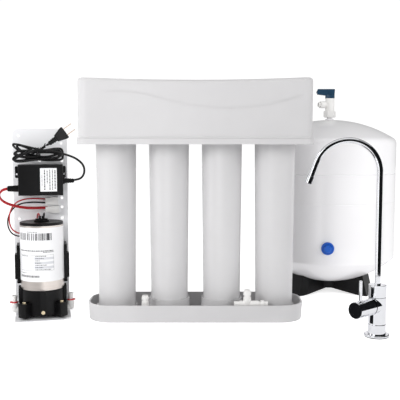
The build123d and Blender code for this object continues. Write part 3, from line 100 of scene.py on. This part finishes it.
def add_node(material, kind, sockets=None, **settings):
    """Adds a node; sockets holds plain values or the outputs that feed it, settings its properties."""
    node = material.node_tree.nodes.new(kind)
    for name, value in settings.items():
        setattr(node, name, value)
    for name, value in (sockets or {}).items():
        if isinstance(value, bpy.types.NodeSocket):
            material.node_tree.links.new(value, node.inputs[name])
        else:
            node.inputs[name].default_value = value
    return node


def new_material(name):
    """An empty material, with the object coordinates that its patterns are measured on, in metres."""
    material = bpy.data.materials.new(name)
    material.use_nodes = True
    material.node_tree.nodes.clear()
    place = add_node(material, "ShaderNodeTexCoord").outputs["Object"]
    return material, place


def surfaced(material, shader, bump=None):
    """Closes a material with its shader, and gives the shader the bump if there is one."""
    if bump:
        material.node_tree.links.new(bump.outputs["Normal"], shader.inputs["Normal"])
    add_node(material, "ShaderNodeOutputMaterial", {"Surface": shader.outputs[0]})
    return material


def dress(slot, material, *pieces):
    """Gives a finish to the CAD nodes of a material slot and to the new pieces that go with them."""
    nodes = [row["node"] for row in frame["record"]["subparts"] if row["material_slot"] == slot]
    for piece in [frame["nodes"][node] for node in nodes] + list(pieces):
        if not piece.material_slots:
            piece.data.materials.append(material)
        for held in piece.material_slots:
            held.material = material


def moulded(name, colour, shade, roughness, ior, grain_mm, depth_mm, clarity=0.0, gleam=0.5):
    """A moulded plastic: the tool's eroded grain as bump, flow marks as a slow change of gloss and tone."""
    material, place = new_material(name)
    flow = add_node(material, "ShaderNodeTexNoise", {"Vector": place, "Scale": 1000 / 45, "Detail": 3.0})
    tone = add_node(material, "ShaderNodeMix",
                    {0: flow.outputs["Fac"], 6: linear(colour), 7: linear(shade)}, data_type="RGBA")
    gloss = add_node(material, "ShaderNodeMapRange",
                     {"Value": flow.outputs["Fac"], "To Min": roughness - 0.05, "To Max": roughness + 0.07})
    grain = add_node(material, "ShaderNodeTexNoise",
                     {"Vector": place, "Scale": 1000 / grain_mm, "Detail": 2.0, "Roughness": 0.6})
    bump = add_node(material, "ShaderNodeBump",
                    {"Strength": 0.6, "Distance": depth_mm / 1000, "Height": grain.outputs["Fac"]})
    shader = add_node(material, "ShaderNodeBsdfPrincipled",
                      {"Base Color": tone.outputs[2], "Roughness": gloss.outputs["Result"], "IOR": ior,
                       "Specular IOR Level": gleam, "Subsurface Weight": clarity,
                       "Subsurface Radius": (0.004, 0.004, 0.004)})
    return surfaced(material, shader, bump)


# Black flexible vinyl, extruded: a soft sheen, a grain too fine to see drawn at a millimetre.
cord_vinyl = moulded("extruded_black_vinyl", "#0d0d0e", "#070708", 0.33, 1.53, 1.0, 0.02, gleam=0.22)

# The route leaves the relief and rises to the hank; each turn of the hank then has its own lift at
# its two ends, its own height at the tie and its own length.
CORD_RADIUS = 0.002
mains_route = [(0.040, 0.008, 0.2515), (0.069, 0.008, 0.2515), (0.0805, 0.0085, 0.2625),
               (0.0805, 0.009, 0.279), (0.069, 0.010, 0.291), (0.056, 0.011, 0.2975)]
WHOLE_TURNS = 5
POINTS_A_TURN = 14
LAST_POINTS = 10
HANK_MIDDLE = Vector((-0.0035, 0.012, 0.3005))
HANK_HALF_LENGTH = 0.0445
LOOP_HALF_HEIGHT = 0.0085
STRAND_PITCH = 0.0041
left_lift = (-0.0105, 0.0035, 0.0185, -0.0085, 0.0165, 0.0015)
right_lift = (0.0000, 0.0060, -0.0070, 0.0085, -0.0035, 0.0030)
tie_half_heights = (0.0085, 0.0045, 0.0100, 0.0060, 0.0030, 0.0070)
half_lengths = (0.97, 0.93, 1.03, 1.05, 0.88, 1.00)
for step in range(WHOLE_TURNS * POINTS_A_TURN + LAST_POINTS):
    turn = step // POINTS_A_TURN
    angle = 2 * pi * (step % POINTS_A_TURN) / POINTS_A_TURN + 0.30
    along = cos(angle)
    spread = abs(along) ** 1.3
    lift = right_lift[turn] if along > 0 else left_lift[turn]
    pinched = tie_half_heights[turn]
    half_height = pinched + (LOOP_HALF_HEIGHT - pinched) * min(1, 1.6 * spread)
    row = (turn - WHOLE_TURNS / 2) * STRAND_PITCH + 0.0006 * sin(3 * angle + turn)
    mains_route.append((HANK_MIDDLE.x + HANK_HALF_LENGTH * half_lengths[turn] * along,
                        HANK_MIDDLE.y + row * (1 + 0.4 * spread),
                        HANK_MIDDLE.z + lift * spread + half_height * sin(angle)))
mains_route += [(-0.014, 0.0165, 0.3025), (-0.0015, 0.0135, 0.3085), (0.0097, 0.012, 0.3157)]
mains_cord = curve_piece("mains_cord_whole", mains_route, CORD_RADIUS, "booster")
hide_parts("mains_cord", "cord_hank")
dress("cord_black", cord_vinyl, mains_cord)

# Twist tie: a paper-thin plastic strip over a wire, wound once round the middle of the hank, with
# its two ends twisted together and bent up.
TIE_WIRE = 0.0009
TIE_HALF_DEPTH = 0.0165
TIE_HALF_HEIGHT = 0.0122
tie_route = []
for step in range(26):
    angle = 2 * pi * step / 12 + pi / 2
    tie_route.append((HANK_MIDDLE.x + 0.00035 * (step - 12),
                      HANK_MIDDLE.y + TIE_HALF_DEPTH * cos(angle),
                      HANK_MIDDLE.z + 0.0008 + (TIE_HALF_HEIGHT + 0.0004 * (step % 3)) * sin(angle)))
for step in range(9):
    angle = 2 * pi * step / 5
    tie_route.append((HANK_MIDDLE.x + 0.004 + 0.0012 * step + 0.0007 * cos(angle),
                      HANK_MIDDLE.y - 0.016 - 0.0002 * step + 0.0007 * sin(angle),
                      HANK_MIDDLE.z + 0.009 + 0.0014 * step))
twist_tie = curve_piece("twist_tie", tie_route, TIE_WIRE, "booster")
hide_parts("cord_tie")
# Glass-filled black nylon and ABS, moulded with a fine eroded grain that keeps it satin.
black_nylon = moulded("moulded_black_nylon", "#0a0a0b", "#060607", 0.33, 1.53, 0.9, 0.03, gleam=0.12)
dress("black_plastic", black_nylon, twist_tie)

# Supply lead: two red-sheathed strands side by side from the transformer's tapered relief to the
# lower white connector.
SUPPLY_STRAND = 0.00135
# Red flexible vinyl, extruded over tinned wire: glossier than the mains cord's black.
red_vinyl = moulded("extruded_red_vinyl", "#c0141f", "#a00c17", 0.3, 1.53, 1.0, 0.015)
dress("lead_red", red_vinyl)
supply_route = [(-0.056, 0.008, 0.238), (-0.066, 0.008, 0.238), (-0.075, 0.0095, 0.230),
                (-0.0735, 0.012, 0.219), (-0.064, 0.014, 0.211), (-0.047, 0.018, 0.2045),
                (-0.028, 0.026, 0.2003), (-0.012, 0.0348, 0.1987), (0.001, 0.0397, 0.19865),
                (0.012, 0.0397, 0.19865)]
for number, side in ((1, -1), (2, 1)):
    strand_route = [(x, y + side * 0.0009, z + side * 0.00115) for x, y, z in supply_route]
    strand = curve_piece(f"supply_strand_{number}", strand_route, SUPPLY_STRAND, "booster")
    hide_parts("supply_lead")
    strand.data.materials.append(red_vinyl)


# Motor label: a white coated paper sleeve wrapped once round the drawn steel can, leaving a bright
# band of steel above it and a brushed one below. It is printed with a row of bars, a ruled table and
# short dashes where words would stand, each print a film of ink on the paper.
def new_piece(name, mesh_maker, body):
    """A mesh object at the origin, riding on a body."""
    data = bpy.data.meshes.new(name)
    mesh_maker.to_mesh(data)
    mesh_maker.free()
    piece = bpy.data.objects.new(name, data)
    bpy.context.collection.objects.link(piece)
    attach(piece, body)
    return piece


MOTOR_RADIUS = (motor_high.x - motor_low.x) / 2
LABEL_LOW = motor_low.z + 0.0165
LABEL_HIGH = motor_high.z - 0.003
LABEL_THICK = 0.0002
GLUE_THICK = 0.00005


def wrapped_strip(target, first, last, low, high, radius, thick):
    """A strip that follows the can between two angles from the front, in degrees, and two heights."""
    start = radians(first)
    corners = [(radius, low), (radius + thick, low), (radius + thick, high), (radius, high)]
    verts = [target.verts.new((r * sin(start), -r * cos(start), z)) for r, z in corners]
    face = target.faces.new(verts)
    whole = abs(last - first) >= 360
    steps = max(1, round(abs(last - first) / 5))
    bmesh.ops.spin(target, geom=[face, *face.edges, *verts], cent=(0, 0, 0), axis=(0, 0, 1),
                   angle=radians(last - first), steps=steps, use_merge=whole, use_duplicate=False)
    if whole:
        inner = [f for f in target.faces if f.is_valid and f == face]
        bmesh.ops.delete(target, geom=inner, context="FACES_ONLY")


label = bmesh.new()
wrapped_strip(label, 0, 360, LABEL_LOW, LABEL_HIGH, MOTOR_RADIUS + GLUE_THICK, LABEL_THICK)
bmesh.ops.remove_doubles(label, verts=label.verts, dist=1e-6)
bmesh.ops.recalc_face_normals(label, faces=label.faces)
bmesh.ops.transform(label, matrix=station, verts=label.verts)
motor_label = new_piece("motor_label", label, "booster")
# Coated label paper: a bright white sheet whose fibres, 0.8 mm long, barely break its satin coating.
label_paper, place = new_material("coated_label_paper")
fibre = add_node(label_paper, "ShaderNodeTexNoise", {"Vector": place, "Scale": 1000 / 0.8, "Detail": 4.0})
tone = add_node(label_paper, "ShaderNodeMix",
                {0: fibre.outputs["Fac"], 6: linear("#f4f4f5"), 7: linear("#e9e9eb")}, data_type="RGBA")
bump = add_node(label_paper, "ShaderNodeBump",
                {"Strength": 0.4, "Distance": 0.00001, "Height": fibre.outputs["Fac"]})
shader = add_node(label_paper, "ShaderNodeBsdfPrincipled",
                  {"Base Color": tone.outputs[2], "Roughness": 0.42, "IOR": 1.5})
surfaced(label_paper, shader, bump)
motor_label.data.materials.append(label_paper)

# Thermal print: flat warm black, its coverage uneven by the print head's 0.5 mm steps.
label_ink, place = new_material("thermal_print_black")
coverage = add_node(label_ink, "ShaderNodeTexNoise", {"Vector": place, "Scale": 1000 / 0.5, "Detail": 1.0})
tone = add_node(label_ink, "ShaderNodeMix",
                {0: coverage.outputs["Fac"], 6: linear("#262628"), 7: linear("#4a4a4d")}, data_type="RGBA")
shader = add_node(label_ink, "ShaderNodeBsdfPrincipled",
                  {"Base Color": tone.outputs[2], "Roughness": 0.6, "IOR": 1.5})
surfaced(label_ink, shader)

# Table tint: the print's light screen, dots 0.6 mm apart that read as an even grey.
label_tint, place = new_material("screened_print_grey")
dots = add_node(label_tint, "ShaderNodeTexVoronoi", {"Vector": place, "Scale": 1000 / 0.6, "Randomness": 0.0})
tone = add_node(label_tint, "ShaderNodeMix",
                {0: dots.outputs["Distance"], 6: linear("#c9cacf"), 7: linear("#dcdde1")}, data_type="RGBA")
shader = add_node(label_tint, "ShaderNodeBsdfPrincipled",
                  {"Base Color": tone.outputs[2], "Roughness": 0.5, "IOR": 1.5})
surfaced(label_tint, shader)

INK_THICK = 0.00004
PRINT_RADIUS = MOTOR_RADIUS + GLUE_THICK + LABEL_THICK
ink = bmesh.new()
tint = bmesh.new()


def printed(target, first, last, low, high):
    """A print on the motor's label, in degrees from the front and metres above the floor."""
    wrapped_strip(target, first, last, low, high, PRINT_RADIUS, INK_THICK)


# Each bar is its width and the gap after it, both in degrees, and how many fine lines it is made of.
bars = [(10.85, 4.35, 2), (10.35, 4.45, 3), (7.85, 4.35, 2), (7.45, 3.45, 1), (6.15, 2.35, 1),
        (4.35, 0.65, 3), (4.25, 0.95, 2), (6.5, 1.9, 1), (3.3, 0.5, 2), (7.5, 2.3, 1), (2.7, 0.0, 1)]
BAR_LOW = 0.1463
BAR_HIGH = 0.1592
bar_start = -71
for width, gap, lines in bars:
    line_width = width / (2 * lines - 1)
    for line in range(lines):
        line_start = bar_start + 2 * line * line_width
        printed(ink, line_start, line_start + line_width, BAR_LOW, BAR_HIGH)
    bar_start += width + gap


def dashed(target, first, last, low, high, lengths, gap):
    """A line of dashes of uneven length, as print has from afar."""
    start = first
    count = 0
    while start < last:
        end = min(last, start + lengths[count % len(lengths)])
        printed(target, start, end, low, high)
        start = end + gap
        count += 1


PRINT_LEFT = -69
PRINT_RIGHT = 31
dashed(ink, -42, -11, 0.1608, 0.1621, (2.2, 1.4, 3.1, 1.8), 1.3)
dashed(ink, PRINT_LEFT, PRINT_RIGHT, 0.1262, 0.1281, (3.2, 1.5, 4.2, 2.4, 1.8, 3.6), 1.1)
dashed(ink, 2, PRINT_RIGHT, 0.1241, 0.1254, (2.6, 3.4), 1.0)

# The ruled table: seven rows in two columns, every other row tinted in its right column.
TABLE_LOW = 0.0908
ROW_HEIGHT = 0.00409
TABLE_ROWS = 7
TABLE_HIGH = TABLE_LOW + TABLE_ROWS * ROW_HEIGHT
RULE = 0.00028
COLUMN_SPLIT = -20
for row in range(TABLE_ROWS + 1):
    height = TABLE_LOW + row * ROW_HEIGHT
    printed(ink if row in (0, TABLE_ROWS) else tint, PRINT_LEFT, PRINT_RIGHT, height, height + RULE)
for edge in (PRINT_LEFT, COLUMN_SPLIT, PRINT_RIGHT):
    printed(ink if edge == PRINT_RIGHT else tint, edge - 0.25, edge + 0.25, TABLE_LOW, TABLE_HIGH)
for row in (1, 3, 5):
    height = TABLE_LOW + row * ROW_HEIGHT
    printed(tint, COLUMN_SPLIT + 0.3, PRINT_RIGHT - 0.3, height + RULE, height + ROW_HEIGHT)
row_ends = (24, 2, 12, -3, -6, 4, 10)
for row, end in enumerate(row_ends):
    height = TABLE_LOW + (row + 0.38) * ROW_HEIGHT
    dashed(ink, -18, end, height, height + 0.0013, (2.4, 3.5, 1.6), 1.0)
dashed(ink, -63, -40, TABLE_LOW + 6.4 * ROW_HEIGHT, TABLE_LOW + 6.7 * ROW_HEIGHT, (2.4, 3.0), 1.4)
dashed(ink, PRINT_LEFT, -43, 0.0858, 0.0870, (2.6, 1.8, 3.4), 2.6)
dashed(ink, PRINT_LEFT, -8, 0.0785, 0.0822, (2.0, 2.4, 2.0, 2.6), 1.5)
for print_maker, name, slot, material in ((ink, "label_print", "black_plastic", label_ink),
                                          (tint, "label_table", "fitting_white", label_tint)):
    bmesh.ops.recalc_face_normals(print_maker, faces=print_maker.faces)
    bmesh.ops.transform(print_maker, matrix=station, verts=print_maker.verts)
    new_piece(name, print_maker, "booster").data.materials.append(material)

# Transformer label: a white polyester sticker in the shallow recess on the front of the case, its
# lines of print running upwards because the case is mounted on its side.
CASE_FRONT = -0.012
STICKER_LEFT, STICKER_RIGHT = -0.001, 0.029
STICKER_LOW, STICKER_HIGH = 0.2330, 0.2760
STICKER_THICK = 0.00015


def sticker_block(target, left, right, low, high, back, thick):
    """A flat film on the case's front, between two places across and two heights."""
    made = bmesh.ops.create_cube(target, size=1)["verts"]
    middle = ((left + right) / 2, back - thick / 2, (low + high) / 2)
    bmesh.ops.scale(target, vec=(right - left, thick, high - low), verts=made)
    bmesh.ops.translate(target, vec=middle, verts=made)


sticker = bmesh.new()
sticker_block(sticker, STICKER_LEFT, STICKER_RIGHT, STICKER_LOW, STICKER_HIGH, CASE_FRONT, STICKER_THICK)
upright = [e for e in sticker.edges if abs(e.verts[0].co.y - e.verts[1].co.y) > 0.0001]
bmesh.ops.bevel(sticker, geom=upright, offset=0.0008, offset_type="OFFSET", segments=4, profile=0.5,
                affect="EDGES", material=-1)
bmesh.ops.transform(sticker, matrix=station, verts=sticker.verts)
case_label = new_piece("case_label", sticker, "booster")
case_label.data.materials.append(label_paper)

sticker_print = bmesh.new()
LINES_ACROSS = 6
line_pitch = (STICKER_RIGHT - STICKER_LEFT) / (LINES_ACROSS + 0.4)
for line in range(LINES_ACROSS):
    across = STICKER_LEFT + line_pitch * (line + 0.7)
    half_width = (0.0004, 0.0011, 0.0008, 0.0009, 0.0008, 0.0011)[line]
    low_end = STICKER_LOW + (0.010, 0.003, 0.015, 0.003, 0.003, 0.005)[line]
    high_end = STICKER_HIGH - (0.012, 0.003, 0.004, 0.003, 0.003, 0.003)[line]
    height = low_end
    count = line
    while height < high_end:
        length = (0.0016, 0.0024, 0.0011, 0.0031)[count % 4]
        top = min(high_end, height + length)
        sticker_block(sticker_print, across - half_width, across + half_width, height, top,
                      CASE_FRONT - STICKER_THICK, INK_THICK)
        height = top + 0.0009
        count += 1
bmesh.ops.transform(sticker_print, matrix=station, verts=sticker_print.verts)
case_print = new_piece("case_print", sticker_print, "booster")
case_print.data.materials.append(label_ink)

# Booster station's steelwork: a folded sheet panel with a shelf, powder coated white; the coating's
# orange peel is about 1.5 mm across and gives the satin its slight waviness.
def painted(name, colour, shade, roughness, peel_mm, depth_mm, coat):
    """A sprayed coating: orange peel as bump, under a clear gloss layer of its own weight."""
    material, place = new_material(name)
    peel = add_node(material, "ShaderNodeTexNoise", {"Vector": place, "Scale": 1000 / peel_mm, "Detail": 1.5})
    drift = add_node(material, "ShaderNodeTexNoise", {"Vector": place, "Scale": 1000 / 80, "Detail": 2.0})
    tone = add_node(material, "ShaderNodeMix",
                    {0: drift.outputs["Fac"], 6: linear(colour), 7: linear(shade)}, data_type="RGBA")
    gloss = add_node(material, "ShaderNodeMapRange",
                     {"Value": drift.outputs["Fac"], "To Min": roughness - 0.04, "To Max": roughness + 0.05})
    bump = add_node(material, "ShaderNodeBump",
                    {"Strength": 0.5, "Distance": depth_mm / 1000, "Height": peel.outputs["Fac"]})
    shader = add_node(material, "ShaderNodeBsdfPrincipled",
                      {"Base Color": tone.outputs[2], "Roughness": gloss.outputs["Result"], "IOR": 1.5,
                       "Coat Weight": coat, "Coat Roughness": 0.06})
    return surfaced(material, shader, bump)


panel_coat = painted("powder_coated_white", "#fafafc", "#f5f6f8", 0.4, 1.5, 0.02, 0.1)
dress("panel_paint", panel_coat)
dress("bracket_paint", panel_coat)


# Motor can: drawn mild steel, zinc plated and brushed round the can. The brushing is drawn half a
# millimetre coarse, and the plating has a warm grey cast.
def brushed(name, colour, shade, roughness, stroke_mm, depth_mm):
    """A brushed or turned metal whose strokes run round the upright axis."""
    material, place = new_material(name)
    stretched = add_node(material, "ShaderNodeMapping", {"Vector": place, "Scale": (0.02, 0.02, 1.0)})
    strokes = add_node(material, "ShaderNodeTexNoise",
                       {"Vector": stretched.outputs["Vector"], "Scale": 1000 / stroke_mm, "Detail": 4.0})
    stains = add_node(material, "ShaderNodeTexNoise", {"Vector": place, "Scale": 1000 / 25, "Detail": 2.0})
    tone = add_node(material, "ShaderNodeMix",
                    {0: strokes.outputs["Fac"], 6: linear(colour), 7: linear(shade)}, data_type="RGBA")
    gloss = add_node(material, "ShaderNodeMapRange",
                     {"Value": stains.outputs["Fac"], "To Min": roughness - 0.06, "To Max": roughness + 0.08})
    bump = add_node(material, "ShaderNodeBump",
                    {"Strength": 0.5, "Distance": depth_mm / 1000, "Height": strokes.outputs["Fac"]})
    shader = add_node(material, "ShaderNodeBsdfPrincipled",
                      {"Base Color": tone.outputs[2], "Roughness": gloss.outputs["Result"], "Metallic": 1.0})
    return surfaced(material, shader, bump)


dress("can_steel", brushed("brushed_zinc_plated_steel", "#c4bdb8", "#a8a19c", 0.32, 0.5, 0.01))

# Screws and valve stem in turned brass, the plug's blades in nickel plated brass that has yellowed
# a little, and the transformer's core in stacked iron sheets with a dull rolled skin.
dress("brass", brushed("turned_brass", "#dccfb4", "#c9b894", 0.25, 0.3, 0.008))
dress("blade_metal", brushed("nickel_plated_brass", "#b7a594", "#a08d7b", 0.24, 0.6, 0.005))
dress("core_iron", brushed("laminated_core_iron", "#77777a", "#56565a", 0.45, 0.5, 0.03))

# Elbow clips: thin red acetal forks that lock the tubes in the pump's elbows, moulded glossy and
# grained finer than the fittings.
dress("clip_red", moulded("moulded_red_acetal", "#d01c25", "#b8141d", 0.28, 1.48, 1.0, 0.01))

# Filter unit's tray and cover: white ABS injection mouldings. The tool's spark-eroded faces leave a
# grain of about 0.8 mm that keeps the gloss soft; flow marks shift it slightly along the walls.
dress("abs_white", moulded("moulded_white_abs", "#cdcccd", "#c8c7c8", 0.38, 1.53, 0.8, 0.02, 0.04))

# Filter canisters and heads: polypropylene. The canisters are moulded smoother than the cover and
# are a little translucent; the heads are filled, so greyer and duller.
canister_shell = moulded("moulded_white_polypropylene", "#d3d2d3", "#cecdce", 0.34, 1.49, 2.0, 0.02, 0.08)
dress("canister_white", canister_shell)
dress("head_plastic", moulded("moulded_grey_white_polypropylene", "#e4e4e4", "#dadadb", 0.4, 1.49, 1.2, 0.03))

# Push-fit pieces: white acetal, denser and brighter than the housings, with a waxy gloss. Their
# tubes are extruded polyethylene, clearer and smoother still.
dress("fitting_white", moulded("moulded_white_acetal", "#f3f2f0", "#ebeae8", 0.3, 1.48, 1.5, 0.01, 0.1))
dress("tube_white", moulded("extruded_white_polyethylene", "#f5f5f3", "#eeeeec", 0.32, 1.51, 1.8, 0.01, 0.15))

# Seals and the tank's diaphragm: black butyl rubber pressed in a hot mould, matt, with a bloom
# that greys it unevenly.
dress("seal_rubber", moulded("moulded_black_butyl", "#2b2b2d", "#1d1d1f", 0.62, 1.52, 0.7, 0.03))

# Sediment and membrane elements: melt-blown white polypropylene fibre, wound round a core while
# hot. The strands lie 0.5 mm apart and give a felted, matt skin.
felt, place = new_material("melt_blown_white_fibre")
wound = add_node(felt, "ShaderNodeMapping", {"Vector": place, "Scale": (0.15, 0.15, 1.0)})
strands = add_node(felt, "ShaderNodeTexNoise",
                   {"Vector": wound.outputs["Vector"], "Scale": 1000 / 0.5, "Detail": 6.0, "Roughness": 0.7})
tone = add_node(felt, "ShaderNodeMix",
                {0: strands.outputs["Fac"], 6: linear("#f2f1ee"), 7: linear("#dcdad6")}, data_type="RGBA")
bump = add_node(felt, "ShaderNodeBump",
                {"Strength": 0.8, "Distance": 0.0003, "Height": strands.outputs["Fac"]})
shader = add_node(felt, "ShaderNodeBsdfPrincipled",
                  {"Base Color": tone.outputs[2], "Roughness": 0.9, "IOR": 1.45})
dress("felt_white", surfaced(felt, shader, bump))

# Carbon elements: activated carbon pressed into hollow blocks, with grains of 0.8 mm that glint
# dully.
carbon, place = new_material("pressed_activated_carbon")
grains = add_node(carbon, "ShaderNodeTexVoronoi", {"Vector": place, "Scale": 1000 / 0.8})
tone = add_node(carbon, "ShaderNodeMix",
                {0: grains.outputs["Distance"], 6: linear("#242425"), 7: linear("#111112")}, data_type="RGBA")
bump = add_node(carbon, "ShaderNodeBump",
                {"Strength": 0.8, "Distance": 0.0003, "Height": grains.outputs["Distance"]})
shader = add_node(carbon, "ShaderNodeBsdfPrincipled",
                  {"Base Color": tone.outputs[2], "Roughness": 0.8, "IOR": 1.6})
dress("carbon_block", surfaced(carbon, shader, bump))

# Pressure tank: two deep-drawn steel shells in a baked white gloss enamel, its orange peel 3.5 mm
# across and shallow.
dress("tank_paint", painted("baked_white_enamel", "#fbfafb", "#f7f6f8", 0.3, 3.5, 0.02, 0.5))

# Tank stand: black polypropylene, moulded in one piece with a grain coarser than the pump's, so
# its gloss is broader.
stand_plastic = moulded("moulded_black_polypropylene", "#0f0f10", "#08080a", 0.34, 1.49, 1.2, 0.04, gleam=0.2)
dress("stand_black", stand_plastic)

# Air valve's cap and the shut-off lever: polyethylene and acetal coloured right through, moulded
# glossy with only the finest grain.
dress("cap_blue", moulded("moulded_blue_polyethylene", "#0263cf", "#0252b4", 0.3, 1.51, 1.2, 0.01))
dress("lever_navy", moulded("moulded_navy_acetal", "#24455f", "#193850", 0.32, 1.48, 1.0, 0.015))

# Faucet: brass, polished and chrome plated, so it shows the studio's cards as hard bands. The
# polishing leaves ripples of 12 mm too shallow to feel, and handling leaves faint hazy patches.
chrome, place = new_material("polished_chrome_plate")
ripple = add_node(chrome, "ShaderNodeTexNoise", {"Vector": place, "Scale": 1000 / 12, "Detail": 1.0})
haze = add_node(chrome, "ShaderNodeTexNoise", {"Vector": place, "Scale": 1000 / 20, "Detail": 3.0})
gloss = add_node(chrome, "ShaderNodeMapRange", {"Value": haze.outputs["Fac"], "To Min": 0.02, "To Max": 0.07})
bump = add_node(chrome, "ShaderNodeBump",
                {"Strength": 0.25, "Distance": 0.00008, "Height": ripple.outputs["Fac"]})
shader = add_node(chrome, "ShaderNodeBsdfPrincipled",
                  {"Base Color": linear("#e6e7ea"), "Roughness": gloss.outputs["Result"], "Metallic": 1.0})
dress("faucet_chrome", surfaced(chrome, shader, bump))

# It glows a little so that it stays as pale as the backdrop and keeps only soft contact shadows.
FLOOR_HALF = 8.0
floor_maker = bmesh.new()
bmesh.ops.create_grid(floor_maker, x_segments=2, y_segments=2, size=FLOOR_HALF)
floor_mesh = bpy.data.meshes.new("floor")
floor_maker.to_mesh(floor_mesh)
floor_maker.free()
floor = bpy.data.objects.new("floor", floor_mesh)
bpy.context.collection.objects.link(floor)
board, place = new_material("matt_white_board")
fibres = add_node(board, "ShaderNodeTexNoise", {"Vector": place, "Scale": 1000 / 3, "Detail": 2.0})
tone = add_node(board, "ShaderNodeMix",
                {0: fibres.outputs["Fac"], 6: linear("#f6f6f7"), 7: linear("#f2f2f3")}, data_type="RGBA")
seen = add_node(board, "ShaderNodeLightPath")
glow = add_node(board, "ShaderNodeMapRange",
                {"Value": seen.outputs["Is Camera Ray"], "To Min": 0.25, "To Max": 0.72})
shader = add_node(board, "ShaderNodeBsdfPrincipled",
                  {"Base Color": tone.outputs[2], "Roughness": 0.9, "Specular IOR Level": 0.0,
                   "Emission Color": linear("#ffffff"), "Emission Strength": glow.outputs["Result"]})
floor_mesh.materials.append(surfaced(board, shader))

# Studio light: an even white surround, a tall soft box on each side, one overhead, one in front and
# a small one for the station. Those that chrome is not to mirror are hidden from reflections.
world = bpy.data.worlds.new("studio")
world.use_nodes = True
world.node_tree.nodes.clear()
seen = add_node(world, "ShaderNodeLightPath")
strength = add_node(world, "ShaderNodeMapRange",
                    {"Value": seen.outputs["Is Camera Ray"], "To Min": 0.40, "To Max": 1.05})
surround = add_node(world, "ShaderNodeBackground",
                    {"Color": linear("#ffffff"), "Strength": strength.outputs["Result"]})
add_node(world, "ShaderNodeOutputWorld", {"Surface": surround.outputs[0]})
bpy.context.scene.world = world
bpy.context.scene.view_settings.view_transform = "Standard"


def soft_box(name, place, target, wide, high, power, mirrored):
    """An area light that faces a point, and shows in glossy surfaces or does not."""
    data = bpy.data.lights.new(name, "AREA")
    data.shape = "RECTANGLE"
    data.size = wide
    data.size_y = high
    data.energy = power
    light = bpy.data.objects.new(name, data)
    light.location = place
    light.rotation_euler = (Vector(target) - Vector(place)).to_track_quat("-Z", "Y").to_euler()
    light.visible_glossy = mirrored
    bpy.context.collection.objects.link(light)


soft_box("left_box", (-1.7, -0.9, 0.7), (0, 0.05, 0.2), 0.9, 1.6, 9, True)
soft_box("right_box", (1.7, -0.9, 0.7), (0, 0.05, 0.2), 0.9, 1.6, 15, False)
soft_box("top_box", (0, -0.3, 1.9), (0, 0.05, 0.2), 2.2, 1.4, 5, True)
soft_box("front_box", (0, -2.4, 1.2), (0, 0.05, 0.2), 2.4, 1.4, 5, False)
soft_box("station_box", (-1.0, -1.1, 0.75), (-0.29, 0.0, 0.2), 0.5, 0.5, 6.5, False)


# Studio boards: black and glowing white boards curved round the faucet, and a black one lying in
# front of it. Only mirror-like surfaces show them, and they draw the hard bands on the chrome.
def board_sheet(name, shade, glow):
    """A matt board of one shade, which may glow."""
    material, _ = new_material(name)
    shader = add_node(material, "ShaderNodeBsdfPrincipled",
                      {"Base Color": linear(shade), "Roughness": 1.0, "Specular IOR Level": 0.0,
                       "Emission Color": linear("#ffffff"), "Emission Strength": glow})
    return surfaced(material, shader)


def mirrored_board(name, first, last, edge, material):
    """A board spun about the faucet between two angles from its front, from an edge of (reach, height)."""
    board_maker = bmesh.new()
    ends = [board_maker.verts.new((reach * sin(radians(first)), -reach * cos(radians(first)), height))
            for reach, height in edge]
    line = board_maker.edges.new(ends)
    bmesh.ops.spin(board_maker, geom=[line, *ends], cent=(0, 0, 0), axis=(0, 0, 1),
                   angle=radians(last - first), steps=max(2, round(abs(last - first) / 8)),
                   use_merge=False, use_duplicate=False)
    bmesh.ops.translate(board_maker, vec=faucet_foot, verts=board_maker.verts)
    board_mesh = bpy.data.meshes.new(name)
    board_maker.to_mesh(board_mesh)
    board_maker.free()
    board_mesh.materials.append(material)
    made = bpy.data.objects.new(name, board_mesh)
    made.visible_camera = False
    made.visible_diffuse = False
    made.visible_shadow = False
    made.visible_transmission = False
    bpy.context.collection.objects.link(made)


body_low, body_high = (Vector(corner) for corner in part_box("faucet_flange"))
faucet_foot = Vector(((body_low.x + body_high.x) / 2, (body_low.y + body_high.y) / 2, 0))
card_black = board_sheet("matt_black_board", "#1c1d1f", 0.0)
card_white = board_sheet("glowing_white_board", "#ffffff", 0.95)
BOARD_REACH = 0.55
upright_edge = ((BOARD_REACH, -0.02), (BOARD_REACH, 0.75))
nearer_edge = ((BOARD_REACH - 0.02, -0.02), (BOARD_REACH - 0.02, 0.75))
lying_edge = ((0.10, 0.001), (0.42, 0.001))
mirrored_board("right_black_board", -36, 128, upright_edge, card_black)
mirrored_board("left_white_board", -128, -36, upright_edge, card_white)
mirrored_board("left_black_board", -84, -66, nearer_edge, card_black)
mirrored_board("lying_black_board", -110, -58, lying_edge, card_black)
